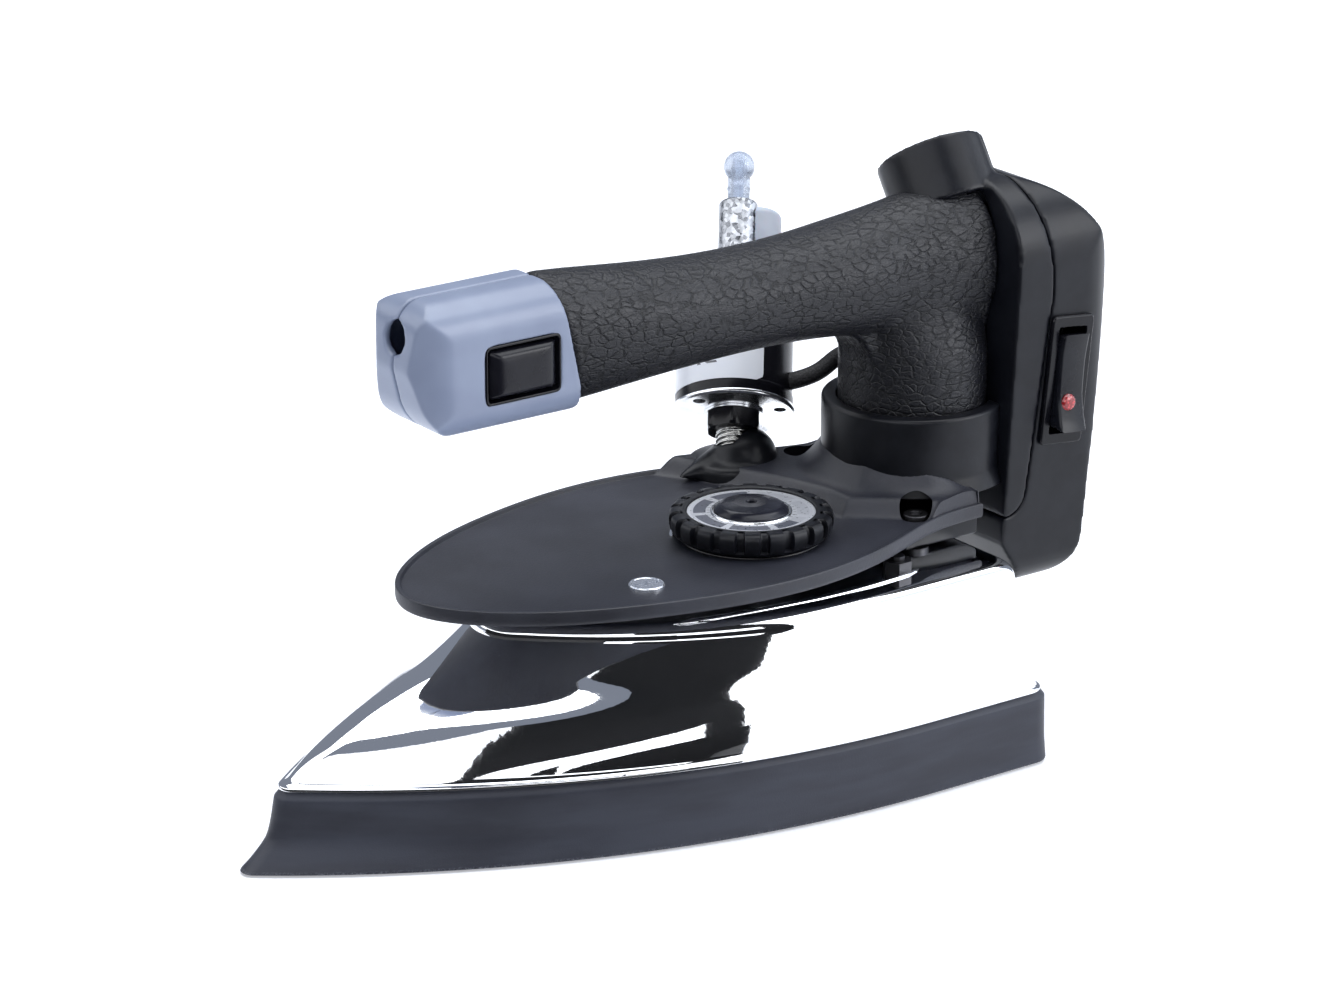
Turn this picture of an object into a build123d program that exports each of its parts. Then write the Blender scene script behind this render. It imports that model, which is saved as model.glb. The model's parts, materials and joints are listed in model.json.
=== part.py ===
"""Gravity-feed steam iron, in millimetres.

+X points to the toe, +Y to the iron's left, +Z up. The origin is on the sole's
face, on the centre plane, halfway along the sole. Every separate piece of the
iron is written to parts/NODE.step.
"""
import os
from math import atan2, cos, radians, sin, sqrt

from build123d import *

# ---------------------------------------------------------------- sole and cover
SOLE_LENGTH = 216.0
SOLE_HALF_WIDTH = 62.3
SOLE_THICK = 20.0
SOLE_WIDEST_X = -68.0         # the flanks run straight behind this station
SOLE_NOSE_R = 4.0
SOLE_HEEL_R = 6.0
SOLE_TOE_RAKE = 11.0          # how far the toe pulls back between face and top
SOLE_TOP_CHAMFER = 1.8
STEAM_HOLE_R = 2.0
STEAM_HOLE_STEP = 15.0
WATER_R = 3.0                 # tube that feeds the steam chamber
CHAMBER_DEPTH = 8.0
CHAMBER_HALF_WIDTH = 30.0
CHAMBER_NOSE_X = 42.0
CHAMBER_HEEL_X = -80.0
LID_THICK = 2.0
LID_LEDGE = 3.0
ELEMENT_R = 4.0
ELEMENT_OFFSET = 13.0         # element centre line, inside the sole's edge
COVER_WALL = 1.2
COVER_TOP_Z = 53.0
COVER_SHOULDER = 4.0
COVER_INSET = 2.0             # cover's foot, inside the sole's top edge

# ---------------------------------------------------------------- heat-shield base
PLATE_TIP_X = 56.5
PLATE_HALF_WIDTH = 47.0
PLATE_THICK = 3.0
PLATE_GAP = 6.0               # air gap between the cover's top and the base
RIM_HEIGHT = 1.0
RIM_WIDTH = 1.6
DECK_RISE = 4.5
REAR_BLOCK_LENGTH = 25.0
BLOCK_GAP = 1.0
WELL_R = 6.5                  # screw wells beside the collar
WELL_DEPTH = 3.0
STUD_X = -74.0                # studs that hold the cover down
STUD_INSET = 26.3             # stud's centre, inside the sole's side
STUD_R = 2.0
STUD_NUT_FLATS = 7.0
POST_X_FRONT = 26.0
POST_AHEAD = 19.1             # rear posts, ahead of the leg
POST_Y_REAR = 25.5
POST_R = 3.6
SCREW_R = 2.0
SCREW_HEAD_R = 3.6
SCREW_HEAD = 2.2
BADGE_R = 4.7
BADGE_X, BADGE_Y = 0.7, 26.5

# ---------------------------------------------------------------- thermostat knob
KNOB_X, KNOB_Y = -44.5, 11.0
KNOB_R = 21.8
KNOB_THICK = 6.6
KNOB_TEETH = 20
KNOB_LIFT = 0.7               # knob's foot above the plate
DIAL_R = 17.0
DIAL_THICK = 0.8
CAP_DISC_R = 10.0
SHAFT_R = 3.0

# ---------------------------------------------------------------- handle
LEG_INSET = 0.4               # leg's centre, ahead of the sole's heel
COLLAR_HEIGHT = 20.0          # above the deck
COLLAR_WALL = 4.0
COLLAR_FIT = 0.4              # leg in the collar, per side
COLLAR_FLARE = 5.0
LEG_R = 20.6
GRIP_Z = 124.3                # height of the grip's centre line
JOINT_TOP_X = 17.6            # where the grip meets the cap, at the top
JOINT_SLOPE = 12.0            # degrees the joint leans from upright
CORE_R = 8.0
CORE_WALL = 1.5
CAP_NOSE_X = 60.0
CAP_HALF_WIDTH = 14.0
CAP_HALF_HEIGHT = 18.0
CAP_CORNER_R = 10.0
CAP_CHIN_R = 14.0             # round of the nose's lower corner, seen from the side
CAP_WALL = 2.0
CAP_HOLE_R = 4.4
CAP_HOLE_Z = 133.0
BUTTON_LENGTH = 20.0
BUTTON_HEIGHT = 12.6
BUTTON_X, BUTTON_Z = 29.6, 122.6
BUTTON_TRAVEL = 2.0
BUTTON_GAP = 0.4
BUTTON_RECESS = 2.0

# ---------------------------------------------------------------- rear housing
HOUSING_HALF_WIDTH = 26.5
HOUSING_TOP_Z = 146.0
HOUSING_FOOT_Z = 34.0
HOUSING_SETBACK = 10.0        # housing's front, behind the sole's heel
HOUSING_LENGTH = 41.0
HOUSING_LEAN = 5.5            # how far the front face falls back at the top
SHELL_FOOT_Z = 55.5           # the front shell stops here
SEAM_SETBACK = 16.5           # this and the next setbacks run from the housing's front
HOUSING_WALL = 2.2
HOUSING_EDGE_R = 13.0
HOUSING_ARCH_R = 22.0
OUTLET_R = 15.0
OUTLET_BORE_R = 12.4
OUTLET_TILT = 36.0
OUTLET_TURN = 266.0           # heading of the outlet's lean, degrees from +X
OUTLET_SETBACK = 2.5
OUTLET_Y, OUTLET_Z = -4.0, 138.5
OUTLET_LENGTH = 13.0
OUTLET_FOOT = -4.0            # the collar's inner end, along its axis
OUTLET_BORE_FOOT = -12.0      # the cord passage's inner end, along the same axis
SWITCH_SETBACK = 20.5
SWITCH_Z = 91.5
SWITCH_LENGTH = 36.0
SWITCH_WIDTH = 14.6
SWITCH_LEAN = 6.0
ROCKER_LENGTH = 27.0
ROCKER_WIDTH = 9.0
LENS_R = 2.3
SCREW_SETBACK = 30.0
SCREW_PLACES = ((13.0, 64.0), (-13.0, 64.0), (15.0, 121.0), (-15.0, 121.0))

# ---------------------------------------------------------------- water valve
VALVE_X, VALVE_Y = -71.9, -33.7
VALVE_RISE = 3.0              # foot of the valve's axis, above the deck
VALVE_TILT = 39.0
VALVE_TURN = 231.7            # heading of the valve's lean, degrees from +X
NIPPLE_R = 4.85
NIPPLE_BORE_R = 2.5
NUT_FLATS = 14.0
NUT_THICK = 5.5
NUT_FOOT = 3.5
FLANGE_R = 16.8
FLANGE_THICK = 1.3
COIL_R = 16.2
COIL_LENGTH = 40.0
COIL_WALL = 1.6
LABEL_THICK = 0.15
YOKE_R = 5.4
YOKE_LENGTH = 21.0
BARB_NECK_R = 3.1
BARB_NECK = 7.5
BARB_BALL_R = 4.35
PLUNGER_R = 2.9
PLUNGER_TRAVEL = 1.5
LEAD_R = 3.2
LEAD_HEIGHT = 17.0            # where the lead leaves the coil
LABEL_TURN = 180.0
PLUG_TURN = 90.0

# ---------------------------------------------------------------- fits
PART_GAP = 0.1                # still pieces that slip together
MOVE_GAP = 0.3                # between pieces that move past each other
SHAFT_GAP = 0.05              # running fit of a shaft

SOLE_NOSE_X = SOLE_LENGTH / 2
SOLE_HEEL_X = -SOLE_LENGTH / 2
PLATE_FOOT_Z = COVER_TOP_Z + PLATE_GAP
PLATE_TOP_Z = PLATE_FOOT_Z + PLATE_THICK
DECK_Z = PLATE_TOP_Z + DECK_RISE
DECK_HEEL_X = SOLE_HEEL_X
LEG_X = SOLE_HEEL_X + LEG_INSET
POST_X_REAR = LEG_X + POST_AHEAD
HOUSING_FRONT_X = SOLE_HEEL_X - HOUSING_SETBACK
HOUSING_REAR_X = HOUSING_FRONT_X - HOUSING_LENGTH
SEAM_X = HOUSING_FRONT_X - SEAM_SETBACK
OUTLET_X = HOUSING_FRONT_X - OUTLET_SETBACK
SWITCH_X = HOUSING_FRONT_X - SWITCH_SETBACK
SCREW_HEAD_X = HOUSING_FRONT_X - SCREW_SETBACK
HOUSING_DEPTH = HOUSING_LENGTH - HOUSING_LEAN
HOUSING_CROWN_R = 0.8 * HOUSING_DEPTH         # big rounding of the upper rear corner
STUD_Y = SOLE_HALF_WIDTH - STUD_INSET
COLLAR_R = LEG_R + COLLAR_FIT + COLLAR_WALL
COLLAR_TOP_Z = DECK_Z + COLLAR_HEIGHT
DECK_HALF_WIDTH = COLLAR_R + COLLAR_FLARE
VALVE_FOOT = (VALVE_X, VALVE_Y, DECK_Z + VALVE_RISE)
KNOB_FOOT_Z = PLATE_TOP_Z + KNOB_LIFT
KNOB_TOP_Z = KNOB_FOOT_Z + KNOB_THICK

parts = {}


def lean(tilt, turn):
    """Unit vector that leans by tilt from +Z towards the heading turn."""
    level = sin(radians(tilt))
    return (level * cos(radians(turn)), level * sin(radians(turn)), cos(radians(tilt)))


VALVE_AXIS = lean(VALVE_TILT, VALVE_TURN)
OUTLET_AXIS = lean(OUTLET_TILT, OUTLET_TURN)
VALVE_PLANE = Plane(origin=VALVE_FOOT, z_dir=VALVE_AXIS)
WATER_X = VALVE_FOOT[0] - 11.0 * VALVE_AXIS[0]
WATER_Y = VALVE_FOOT[1] - 11.0 * VALVE_AXIS[1]
OUTLET_PLANE = Plane(origin=(OUTLET_X, OUTLET_Y, OUTLET_Z), z_dir=OUTLET_AXIS)


def post(x, y, low, high, radius):
    """Upright cylinder from low to high."""
    return Pos(x, y, low) * Cylinder(radius, high - low, align=(Align.CENTER, Align.CENTER, Align.MIN))


def on_axis(plane, low, high, radius):
    """Cylinder on a plane's own axis, from low to high above its origin."""
    disc = plane.offset(low) * Circle(radius)
    return extrude(disc, amount=high - low, dir=plane.z_dir)


def block(x_low, x_high, y_low, y_high, z_low, z_high):
    """Box given by its two corners."""
    size = (x_high - x_low, y_high - y_low, z_high - z_low)
    middle = ((x_high + x_low) / 2, (y_high + y_low) / 2, (z_high + z_low) / 2)
    return Pos(*middle) * Box(*size)


def iron_face(level, nose_x, half_width, nose_r, heel_x, heel_r):
    """Iron-shaped face: each flank's arc runs tangent into the round nose."""
    reach = nose_x - nose_r - SOLE_WIDEST_X
    flank_r = (reach**2 + half_width**2 - nose_r**2) / (2 * (half_width - nose_r))
    centre_y = half_width - flank_r
    turn = atan2(reach, -centre_y)
    middle = (SOLE_WIDEST_X + flank_r * sin(turn / 2), centre_y + flank_r * cos(turn / 2))
    tangent = (SOLE_WIDEST_X + flank_r * sin(turn), centre_y + flank_r * cos(turn))

    def other(point):
        return (point[0], -point[1])

    shoulder = (SOLE_WIDEST_X, half_width)
    heel = (heel_x, half_width)
    edges = [
        Line(heel, shoulder),
        ThreePointArc(shoulder, middle, tangent),
        ThreePointArc(tangent, (nose_x, 0), other(tangent)),
        ThreePointArc(other(tangent), other(middle), other(shoulder)),
        Line(other(shoulder), other(heel)),
        Line(other(heel), heel),
    ]
    face = make_face(edges)
    face = fillet(face.vertices().sort_by(Axis.X)[:2], heel_r)
    return Pos(0, 0, level) * face


def soleplate_blank():
    """Cast sole: raked, hollow-cheeked toe and a chamfered top edge."""
    top = SOLE_THICK - SOLE_TOP_CHAMFER
    rake = ((0.0, 0.0), (0.13, 0.30), (0.45, 0.78), (1.0, 1.0))
    body = [
        iron_face(top * at, SOLE_NOSE_X - SOLE_TOE_RAKE * back, SOLE_HALF_WIDTH - 0.6 * back,
                  SOLE_NOSE_R, SOLE_HEEL_X + 0.5 * back, SOLE_HEEL_R)
        for at, back in rake
    ]
    nose = SOLE_NOSE_X - SOLE_TOE_RAKE
    side = SOLE_HALF_WIDTH - 0.6
    heel = SOLE_HEEL_X + 0.5
    edge = SOLE_TOP_CHAMFER
    crown = [
        iron_face(top, nose, side, SOLE_NOSE_R, heel, SOLE_HEEL_R),
        iron_face(SOLE_THICK, nose - edge, side - edge, SOLE_NOSE_R - edge, heel + edge,
                  SOLE_HEEL_R - edge),
    ]
    return loft(body) + loft(crown, ruled=True)


def chamber_face(level, grow):
    """Lens-shaped steam chamber outline, grown by grow."""
    nose, heel = CHAMBER_NOSE_X + grow, CHAMBER_HEEL_X - grow
    side = CHAMBER_HALF_WIDTH + grow
    bulge = heel * 0.45
    edges = [
        ThreePointArc((nose, 0), (nose * 0.35, side * 0.86), (bulge, side)),
        Line((bulge, side), (heel, side)),
        Line((heel, side), (heel, -side)),
        Line((heel, -side), (bulge, -side)),
        ThreePointArc((bulge, -side), (nose * 0.35, -side * 0.86), (nose, 0)),
    ]
    return Pos(0, 0, level) * make_face(edges)


def element_path(level):
    """U-shaped run of the heating element inside the sole's edge."""
    side = SOLE_HALF_WIDTH - ELEMENT_OFFSET
    nose = SOLE_NOSE_X - 3.2 * ELEMENT_OFFSET
    heel = SOLE_HEEL_X + ELEMENT_OFFSET
    left = [(heel, side, level), (SOLE_WIDEST_X / 2, side, level), (SOLE_LENGTH * 0.12, side * 0.7, level),
            (nose, ELEMENT_OFFSET * 0.5, level)]
    right = [(x, -y, z) for x, y, z in reversed(left)]
    return FilletPolyline(*left, *right, radius=ELEMENT_OFFSET * 0.5 - 0.5)


def along(path, radius):
    """Round bar swept along a path."""
    start = Plane(origin=path @ 0, z_dir=path % 0)
    return sweep(start * Circle(radius), path=path)


def steam_holes():
    """Two rows of holes that open from the chamber into the sole's face."""
    drill = []
    count = int((CHAMBER_NOSE_X - CHAMBER_HEEL_X - 2 * STEAM_HOLE_STEP) / STEAM_HOLE_STEP)
    for step in range(count + 1):
        x = CHAMBER_HEEL_X + STEAM_HOLE_STEP * (step + 0.6)
        spread = CHAMBER_HALF_WIDTH * 0.72 * (1 - (step / (count + 1.5)) ** 2)
        drill += [post(x, side * spread, -1, SOLE_THICK, STEAM_HOLE_R) for side in (-1, 1)]
    return drill


def post_places():
    """The three stations where pillars tie the base to the sole."""
    return [(POST_X_FRONT, 0.0), (POST_X_REAR, POST_Y_REAR), (POST_X_REAR, -POST_Y_REAR)]


def make_soleplate():
    chamber_floor = SOLE_THICK - LID_THICK - CHAMBER_DEPTH
    sole = soleplate_blank()
    sole -= extrude(chamber_face(chamber_floor, 0), amount=SOLE_THICK)
    sole -= extrude(chamber_face(SOLE_THICK - LID_THICK, LID_LEDGE), amount=SOLE_THICK)
    sole -= along(element_path(SOLE_THICK), ELEMENT_R + PART_GAP)
    front = post_places()[0]
    island = post(*front, chamber_floor - 1, SOLE_THICK - LID_THICK, POST_R + 3)
    sole += island & extrude(chamber_face(chamber_floor - 1, 0), amount=SOLE_THICK)
    for x, y in post_places():
        sole -= post(x, y, SOLE_THICK - 9, SOLE_THICK + 1, SCREW_R)
    for side in (-1, 1):
        sole -= post(STUD_X, side * STUD_Y, SOLE_THICK - 6, SOLE_THICK + 1, STUD_R)
    for hole in steam_holes():
        sole -= hole
    parts["soleplate"] = sole


def make_chamber_lid():
    lid = extrude(chamber_face(SOLE_THICK - LID_THICK, LID_LEDGE - PART_GAP), amount=LID_THICK)
    lid -= post(*post_places()[0], 0, COVER_TOP_Z, SCREW_R + PART_GAP)
    lid -= post(WATER_X, WATER_Y, 0, COVER_TOP_Z, WATER_R + PART_GAP)
    parts["steam_chamber_lid"] = lid


def make_element():
    rod = along(element_path(SOLE_THICK), ELEMENT_R)
    heel = SOLE_HEEL_X + ELEMENT_OFFSET
    for side in (-1, 1):
        y = side * (SOLE_HALF_WIDTH - ELEMENT_OFFSET)
        rod += post(heel + ELEMENT_R, y, SOLE_THICK, SOLE_THICK + 12, ELEMENT_R * 0.55)
    parts["heating_element"] = rod


def cover_sections(inset, drop):
    """Stations of the plated cover, from its foot to its shoulder."""
    nose = SOLE_NOSE_X - SOLE_TOE_RAKE - COVER_INSET
    side = SOLE_HALF_WIDTH - COVER_INSET
    heel = SOLE_HEEL_X + COVER_INSET
    rise = COVER_TOP_Z - COVER_SHOULDER - SOLE_THICK
    # share of the height, toe pull-back, side pull-in, nose radius, heel pull-in
    stations = (
        (0.00, 0.0, 0.0, 3.6, 0.6),
        (0.22, 8.2, 0.7, 4.6, 0.7),
        (0.45, 21.4, 2.4, 7.0, 0.7),
        (0.72, 43.6, 5.6, 11.0, 0.8),
        (1.00, 60.0, 9.4, 15.0, 0.8),
    )
    faces = [
        iron_face(SOLE_THICK + rise * up - drop, nose - back - inset, side - pull - inset,
                  radius - inset, heel + tuck + inset, SOLE_HEEL_R)
        for up, back, pull, radius, tuck in stations
    ]
    up, back, pull, radius, tuck = stations[-1]
    edge = COVER_SHOULDER
    ring = [
        iron_face(COVER_TOP_Z - edge - drop, nose - back - inset, side - pull - inset,
                  radius - inset, heel + tuck + inset, SOLE_HEEL_R),
        iron_face(COVER_TOP_Z - edge * 0.35 - drop, nose - back - inset - edge * 0.35,
                  side - pull - inset - edge * 0.35, radius - inset,
                  heel + tuck + inset + edge * 0.35, SOLE_HEEL_R),
        iron_face(COVER_TOP_Z - drop, nose - back - inset - edge, side - pull - inset - edge,
                  radius - inset, heel + tuck + inset + edge, SOLE_HEEL_R),
    ]
    return loft(faces) + loft(ring, ruled=True)


def make_cover():
    cover = cover_sections(0, 0) - cover_sections(COVER_WALL, COVER_WALL)
    drills = [post(x, y, SOLE_THICK, COVER_TOP_Z + 1, POST_R + 0.5) for x, y in post_places()]
    for side in (-1, 1):
        drills.append(post(STUD_X, side * STUD_Y, SOLE_THICK, COVER_TOP_Z + 1, STUD_R + PART_GAP))
    drills.append(post(KNOB_X, KNOB_Y, SOLE_THICK + 10, COVER_TOP_Z + 1, SHAFT_R + 2))
    drills.append(post(WATER_X, WATER_Y, SOLE_THICK + 10, COVER_TOP_Z + 1, WATER_R + 1.5))
    drills.append(post(LEG_X + 16, 0, SOLE_THICK + 10, COVER_TOP_Z + 1, 6.0))
    for drill in drills:
        cover -= drill
    parts["chrome_cover"] = cover


def plate_face(level, inset=0.0):
    """Egg-shaped plan of the base, ending in the narrower deck."""
    tip = PLATE_TIP_X - inset
    wide = PLATE_HALF_WIDTH - inset
    back = DECK_HALF_WIDTH - inset
    end = DECK_HEEL_X + inset
    span = tip - end
    side = [
        (tip - 0.11 * span, wide * 0.55), (tip - 0.30 * span, wide * 0.86), (tip - 0.57 * span, wide),
        (tip - 0.78 * span, wide * 0.83), (tip - 0.90 * span, back + 1.6), (end, back),
    ]
    left = Spline((tip, 0), *side, tangents=[(0, 1), (-1, 0)])
    right = Spline((tip, 0), *[(x, -y) for x, y in side], tangents=[(0, -1), (-1, 0)])
    return Pos(0, 0, level) * make_face([left, right, Line((end, back), (end, -back))])


def deck_region(level):
    """Raised rear part of the base: it swings forward round the valve's foot."""
    rear = DECK_HEEL_X - 1
    bay = KNOB_X - KNOB_R - 5.0
    edges = [
        ThreePointArc((KNOB_X - 2, -PLATE_HALF_WIDTH - 4), (bay + 5, KNOB_Y - 24), (bay, KNOB_Y - 6)),
        Line((bay, KNOB_Y - 6), (bay, KNOB_Y + 4)),
        ThreePointArc((bay, KNOB_Y + 4), (bay - 12, KNOB_Y + 14), (bay - 30, PLATE_HALF_WIDTH)),
        Line((bay - 30, PLATE_HALF_WIDTH), (rear, PLATE_HALF_WIDTH)),
        Line((rear, PLATE_HALF_WIDTH), (rear, -PLATE_HALF_WIDTH - 4)),
        Line((rear, -PLATE_HALF_WIDTH - 4), (KNOB_X - 2, -PLATE_HALF_WIDTH - 4)),
    ]
    return Pos(0, 0, level) * make_face(edges)


def make_base():
    plate = extrude(plate_face(PLATE_FOOT_Z), amount=PLATE_THICK + RIM_HEIGHT)
    plate -= extrude(plate_face(PLATE_TOP_Z, RIM_WIDTH), amount=RIM_HEIGHT + 1)
    deck = extrude(plate_face(PLATE_FOOT_Z), amount=DECK_Z - PLATE_FOOT_Z)
    deck &= extrude(deck_region(PLATE_FOOT_Z - 1), amount=DECK_Z)
    base = plate + deck
    base += block(DECK_HEEL_X, DECK_HEEL_X + REAR_BLOCK_LENGTH, -DECK_HALF_WIDTH + 2, DECK_HALF_WIDTH - 2,
                  COVER_TOP_Z + BLOCK_GAP, PLATE_FOOT_Z + 1)
    collar = post(LEG_X, 0, PLATE_FOOT_Z, COLLAR_TOP_Z, COLLAR_R)
    flare = Cone(COLLAR_R + COLLAR_FLARE, COLLAR_R, 7, align=(Align.CENTER, Align.CENTER, Align.MIN))
    collar += Pos(LEG_X, 0, DECK_Z) * flare
    base += collar - behind_front(MOVE_GAP)
    boss = on_axis(VALVE_PLANE, -14, -1.0, 9.5)
    boss = fillet(boss.edges().filter_by(GeomType.CIRCLE).sort_by(Axis.Z)[-1:], 4.0)
    fin = make_face(Polyline((VALVE_FOOT[0] + 2, DECK_Z - 5), (VALVE_FOOT[0] + 21, DECK_Z - 5),
                             (VALVE_FOOT[0] + 2, VALVE_FOOT[2] - 2), close=True))
    fin = extrude(Plane.XZ.offset(-VALVE_FOOT[1]) * fin, amount=5, both=True)
    base += (boss + fin) - block(-200, 200, -100, 100, 0, PLATE_FOOT_Z)
    # sockets, screw wells and passages
    base -= post(LEG_X, 0, DECK_Z - 3, COLLAR_TOP_Z + 1, COLLAR_R - COLLAR_WALL)
    base -= post(LEG_X, 0, COVER_TOP_Z, DECK_Z, CORE_R + PART_GAP)
    base -= on_axis(VALVE_PLANE, -9, 1, NIPPLE_R + PART_GAP)
    base -= post(WATER_X, WATER_Y, COVER_TOP_Z, PLATE_FOOT_Z + 1, WATER_R + PART_GAP)
    base -= on_axis(VALVE_PLANE, -13, -8, NIPPLE_BORE_R)
    base -= post(KNOB_X, KNOB_Y, PLATE_FOOT_Z - 1, DECK_Z, SHAFT_R + MOVE_GAP)
    for x, y in post_places():
        seat = screw_seat(x)
        base -= post(x, y, COVER_TOP_Z, DECK_Z + 1, SCREW_R + PART_GAP)
        base -= post(x, y, seat - SCREW_HEAD, DECK_Z + 1, SCREW_HEAD_R + PART_GAP)
        if x < 0:
            base -= post(x, y, seat, COLLAR_TOP_Z, WELL_R)
    parts["base_plate"] = base


def screw_seat(x):
    """Level of a base screw's head: flush in the plate, or down in a deck well."""
    return PLATE_TOP_Z if x > 0 else DECK_Z - WELL_DEPTH


def pillar_top(x):
    """Underside of the base over a pillar."""
    return PLATE_FOOT_Z if x > 0 else COVER_TOP_Z + BLOCK_GAP


def make_fixings():
    pillars, screws = [], []
    for x, y in post_places():
        seat, foot, top = screw_seat(x), SOLE_THICK, pillar_top(x)
        pillars.append(post(x, y, foot, top, POST_R) - post(x, y, foot - 1, top + 1, SCREW_R + PART_GAP))
        screws.append(post(x, y, SOLE_THICK - 8, seat - SCREW_HEAD, SCREW_R)
                      + post(x, y, seat - SCREW_HEAD, seat, SCREW_HEAD_R))
    parts["spacer_pillars"] = Compound(pillars)
    parts["base_screws"] = Compound(screws)
    studs, nuts = [], []
    for side in (-1, 1):
        y = side * STUD_Y
        studs.append(post(STUD_X, y, SOLE_THICK - 6, COVER_TOP_Z + 4.4, STUD_R))
        hexagon = Pos(STUD_X, y, COVER_TOP_Z) * RegularPolygon(STUD_NUT_FLATS / 2, 6, major_radius=False)
        thread = post(STUD_X, y, COVER_TOP_Z - 1, COVER_TOP_Z + 9, STUD_R)
        nuts.append(extrude(hexagon, amount=3.2) - thread)
    parts["cover_studs"] = Compound(studs)
    parts["cover_nuts"] = Compound(nuts)
    badge = post(BADGE_X, BADGE_Y, PLATE_TOP_Z, PLATE_TOP_Z + 1.0, BADGE_R)
    parts["badge"] = chamfer(badge.edges().sort_by(Axis.Z)[-1:], 0.3)


def make_water_tube():
    low, high = SOLE_THICK - LID_THICK, PLATE_FOOT_Z + 0.9
    tube = post(WATER_X, WATER_Y, low, high, WATER_R)
    tube -= post(WATER_X, WATER_Y, low - 1, high + 1, WATER_R - 0.8)
    parts["water_tube"] = tube


def make_thermostat():
    foot = SOLE_THICK
    body = block(KNOB_X - 11, KNOB_X + 11, KNOB_Y - 8, KNOB_Y + 8, foot, foot + 3)
    body += post(KNOB_X, KNOB_Y, foot + 3, foot + 15, 9.0)
    body -= post(KNOB_X, KNOB_Y, foot + 8, foot + 20, SHAFT_R + SHAFT_GAP)
    body += block(KNOB_X - 20, KNOB_X - 11, KNOB_Y - 4, KNOB_Y + 4, foot + 0.2, foot + 2)
    parts["thermostat"] = body
    fuse_x = KNOB_X + 38
    fuse = Pos(fuse_x, 0, foot + 3.2) * Rot(0, 90, 0) * Cylinder(3.0, 18)
    parts["thermal_fuse"] = fuse
    clip = block(fuse_x - 3, fuse_x + 3, -7, 7, foot, foot + 7.4)
    clip -= Pos(fuse_x, 0, foot + 3.2) * Rot(0, 90, 0) * Cylinder(3.0 + PART_GAP, 30)
    parts["fuse_clip"] = clip - block(fuse_x - 4, fuse_x + 4, -2.4, 2.4, foot - 1, foot + 3.2)
    shaft = post(KNOB_X, KNOB_Y, foot + 8 + MOVE_GAP, KNOB_TOP_Z - DIAL_THICK - 2.6, SHAFT_R)
    parts["thermostat_shaft"] = shaft


def make_knob():
    centre = Pos(KNOB_X, KNOB_Y, 0)
    ring = post(KNOB_X, KNOB_Y, KNOB_FOOT_Z, KNOB_TOP_Z, KNOB_R)
    ring = chamfer(ring.edges().sort_by(Axis.Z)[-1:], 0.8)
    notch_r = 1.5
    for tooth in range(KNOB_TEETH):
        turn = Rot(0, 0, 360 * tooth / KNOB_TEETH)
        ring -= centre * turn * post(KNOB_R + 0.4, 0, KNOB_FOOT_Z + 1.6, KNOB_TOP_Z + 1, notch_r)
    ring -= post(KNOB_X, KNOB_Y, KNOB_TOP_Z - 1.4, KNOB_TOP_Z + 1, DIAL_R + PART_GAP)
    shaft_top = KNOB_TOP_Z - DIAL_THICK - 2.6
    ring -= post(KNOB_X, KNOB_Y, KNOB_FOOT_Z - 1, shaft_top, SHAFT_R)
    hollow = post(KNOB_X, KNOB_Y, KNOB_FOOT_Z - 1, KNOB_FOOT_Z + 2.5, KNOB_R - 5)
    ring -= hollow - post(KNOB_X, KNOB_Y, 0, 200, SHAFT_R + 3)
    parts["knob"] = ring
    dial_foot = KNOB_TOP_Z - 1.4
    dial = post(KNOB_X, KNOB_Y, dial_foot, dial_foot + DIAL_THICK, DIAL_R)
    dial -= post(KNOB_X, KNOB_Y, dial_foot - 1, KNOB_TOP_Z, CAP_DISC_R - 1)
    parts["dial_ring"] = dial
    dome_r = (CAP_DISC_R**2 + 1.6**2) / (2 * 1.6)
    cap_top = dial_foot + DIAL_THICK + 1.2
    cap = post(KNOB_X, KNOB_Y, dial_foot + DIAL_THICK, cap_top + 1.6, CAP_DISC_R)
    cap &= Pos(KNOB_X, KNOB_Y, cap_top + 1.6 - dome_r) * Sphere(dome_r)
    cap += post(KNOB_X, KNOB_Y, dial_foot, dial_foot + DIAL_THICK, CAP_DISC_R - 1 - PART_GAP)
    cap -= post(KNOB_X, KNOB_Y, cap_top, cap_top + 5, 1.4)
    parts["knob_cap"] = cap
    bush = post(KNOB_X, KNOB_Y, PLATE_TOP_Z, KNOB_FOOT_Z - MOVE_GAP, KNOB_R - 2.5)
    parts["knob_bush"] = bush - post(KNOB_X, KNOB_Y, PLATE_TOP_Z - 1, KNOB_TOP_Z, SHAFT_R + MOVE_GAP)


def behind_front(gap):
    """Everything behind the housing's leaning front face, less a gap."""
    foot, top = HOUSING_FOOT_Z + 14, HOUSING_TOP_Z
    lean_rate = HOUSING_LEAN / (top - foot)

    def front(z):
        return HOUSING_FRONT_X + gap - lean_rate * max(z - foot, 0.0)

    corners = [(front(0), 0), (front(foot), foot), (front(220), 220), (-260, 220), (-260, 0)]
    return slab(Plane.XZ * make_face(Polyline(*corners, close=True)), 100)


def across(x, height):
    """Section plane normal to X: its own x axis is +Y, its own y axis is +Z."""
    return Plane(origin=(x, 0, height), x_dir=(0, 1, 0), z_dir=(1, 0, 0))


def side_face(corners, radii):
    """Face in the XZ plane from corner points, each with its own rounding."""
    face = Plane.XZ * make_face(Polyline(*corners, close=True))
    for (x, z), radius in zip(corners, radii):
        if radius:
            corner = face.vertices().sort_by_distance((x, 0, z))[0]
            face = fillet(corner, radius)
    return face


def slab(face, half_width):
    """Face in the XZ plane thickened both ways along Y."""
    return extrude(face, amount=half_width, both=True)


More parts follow.
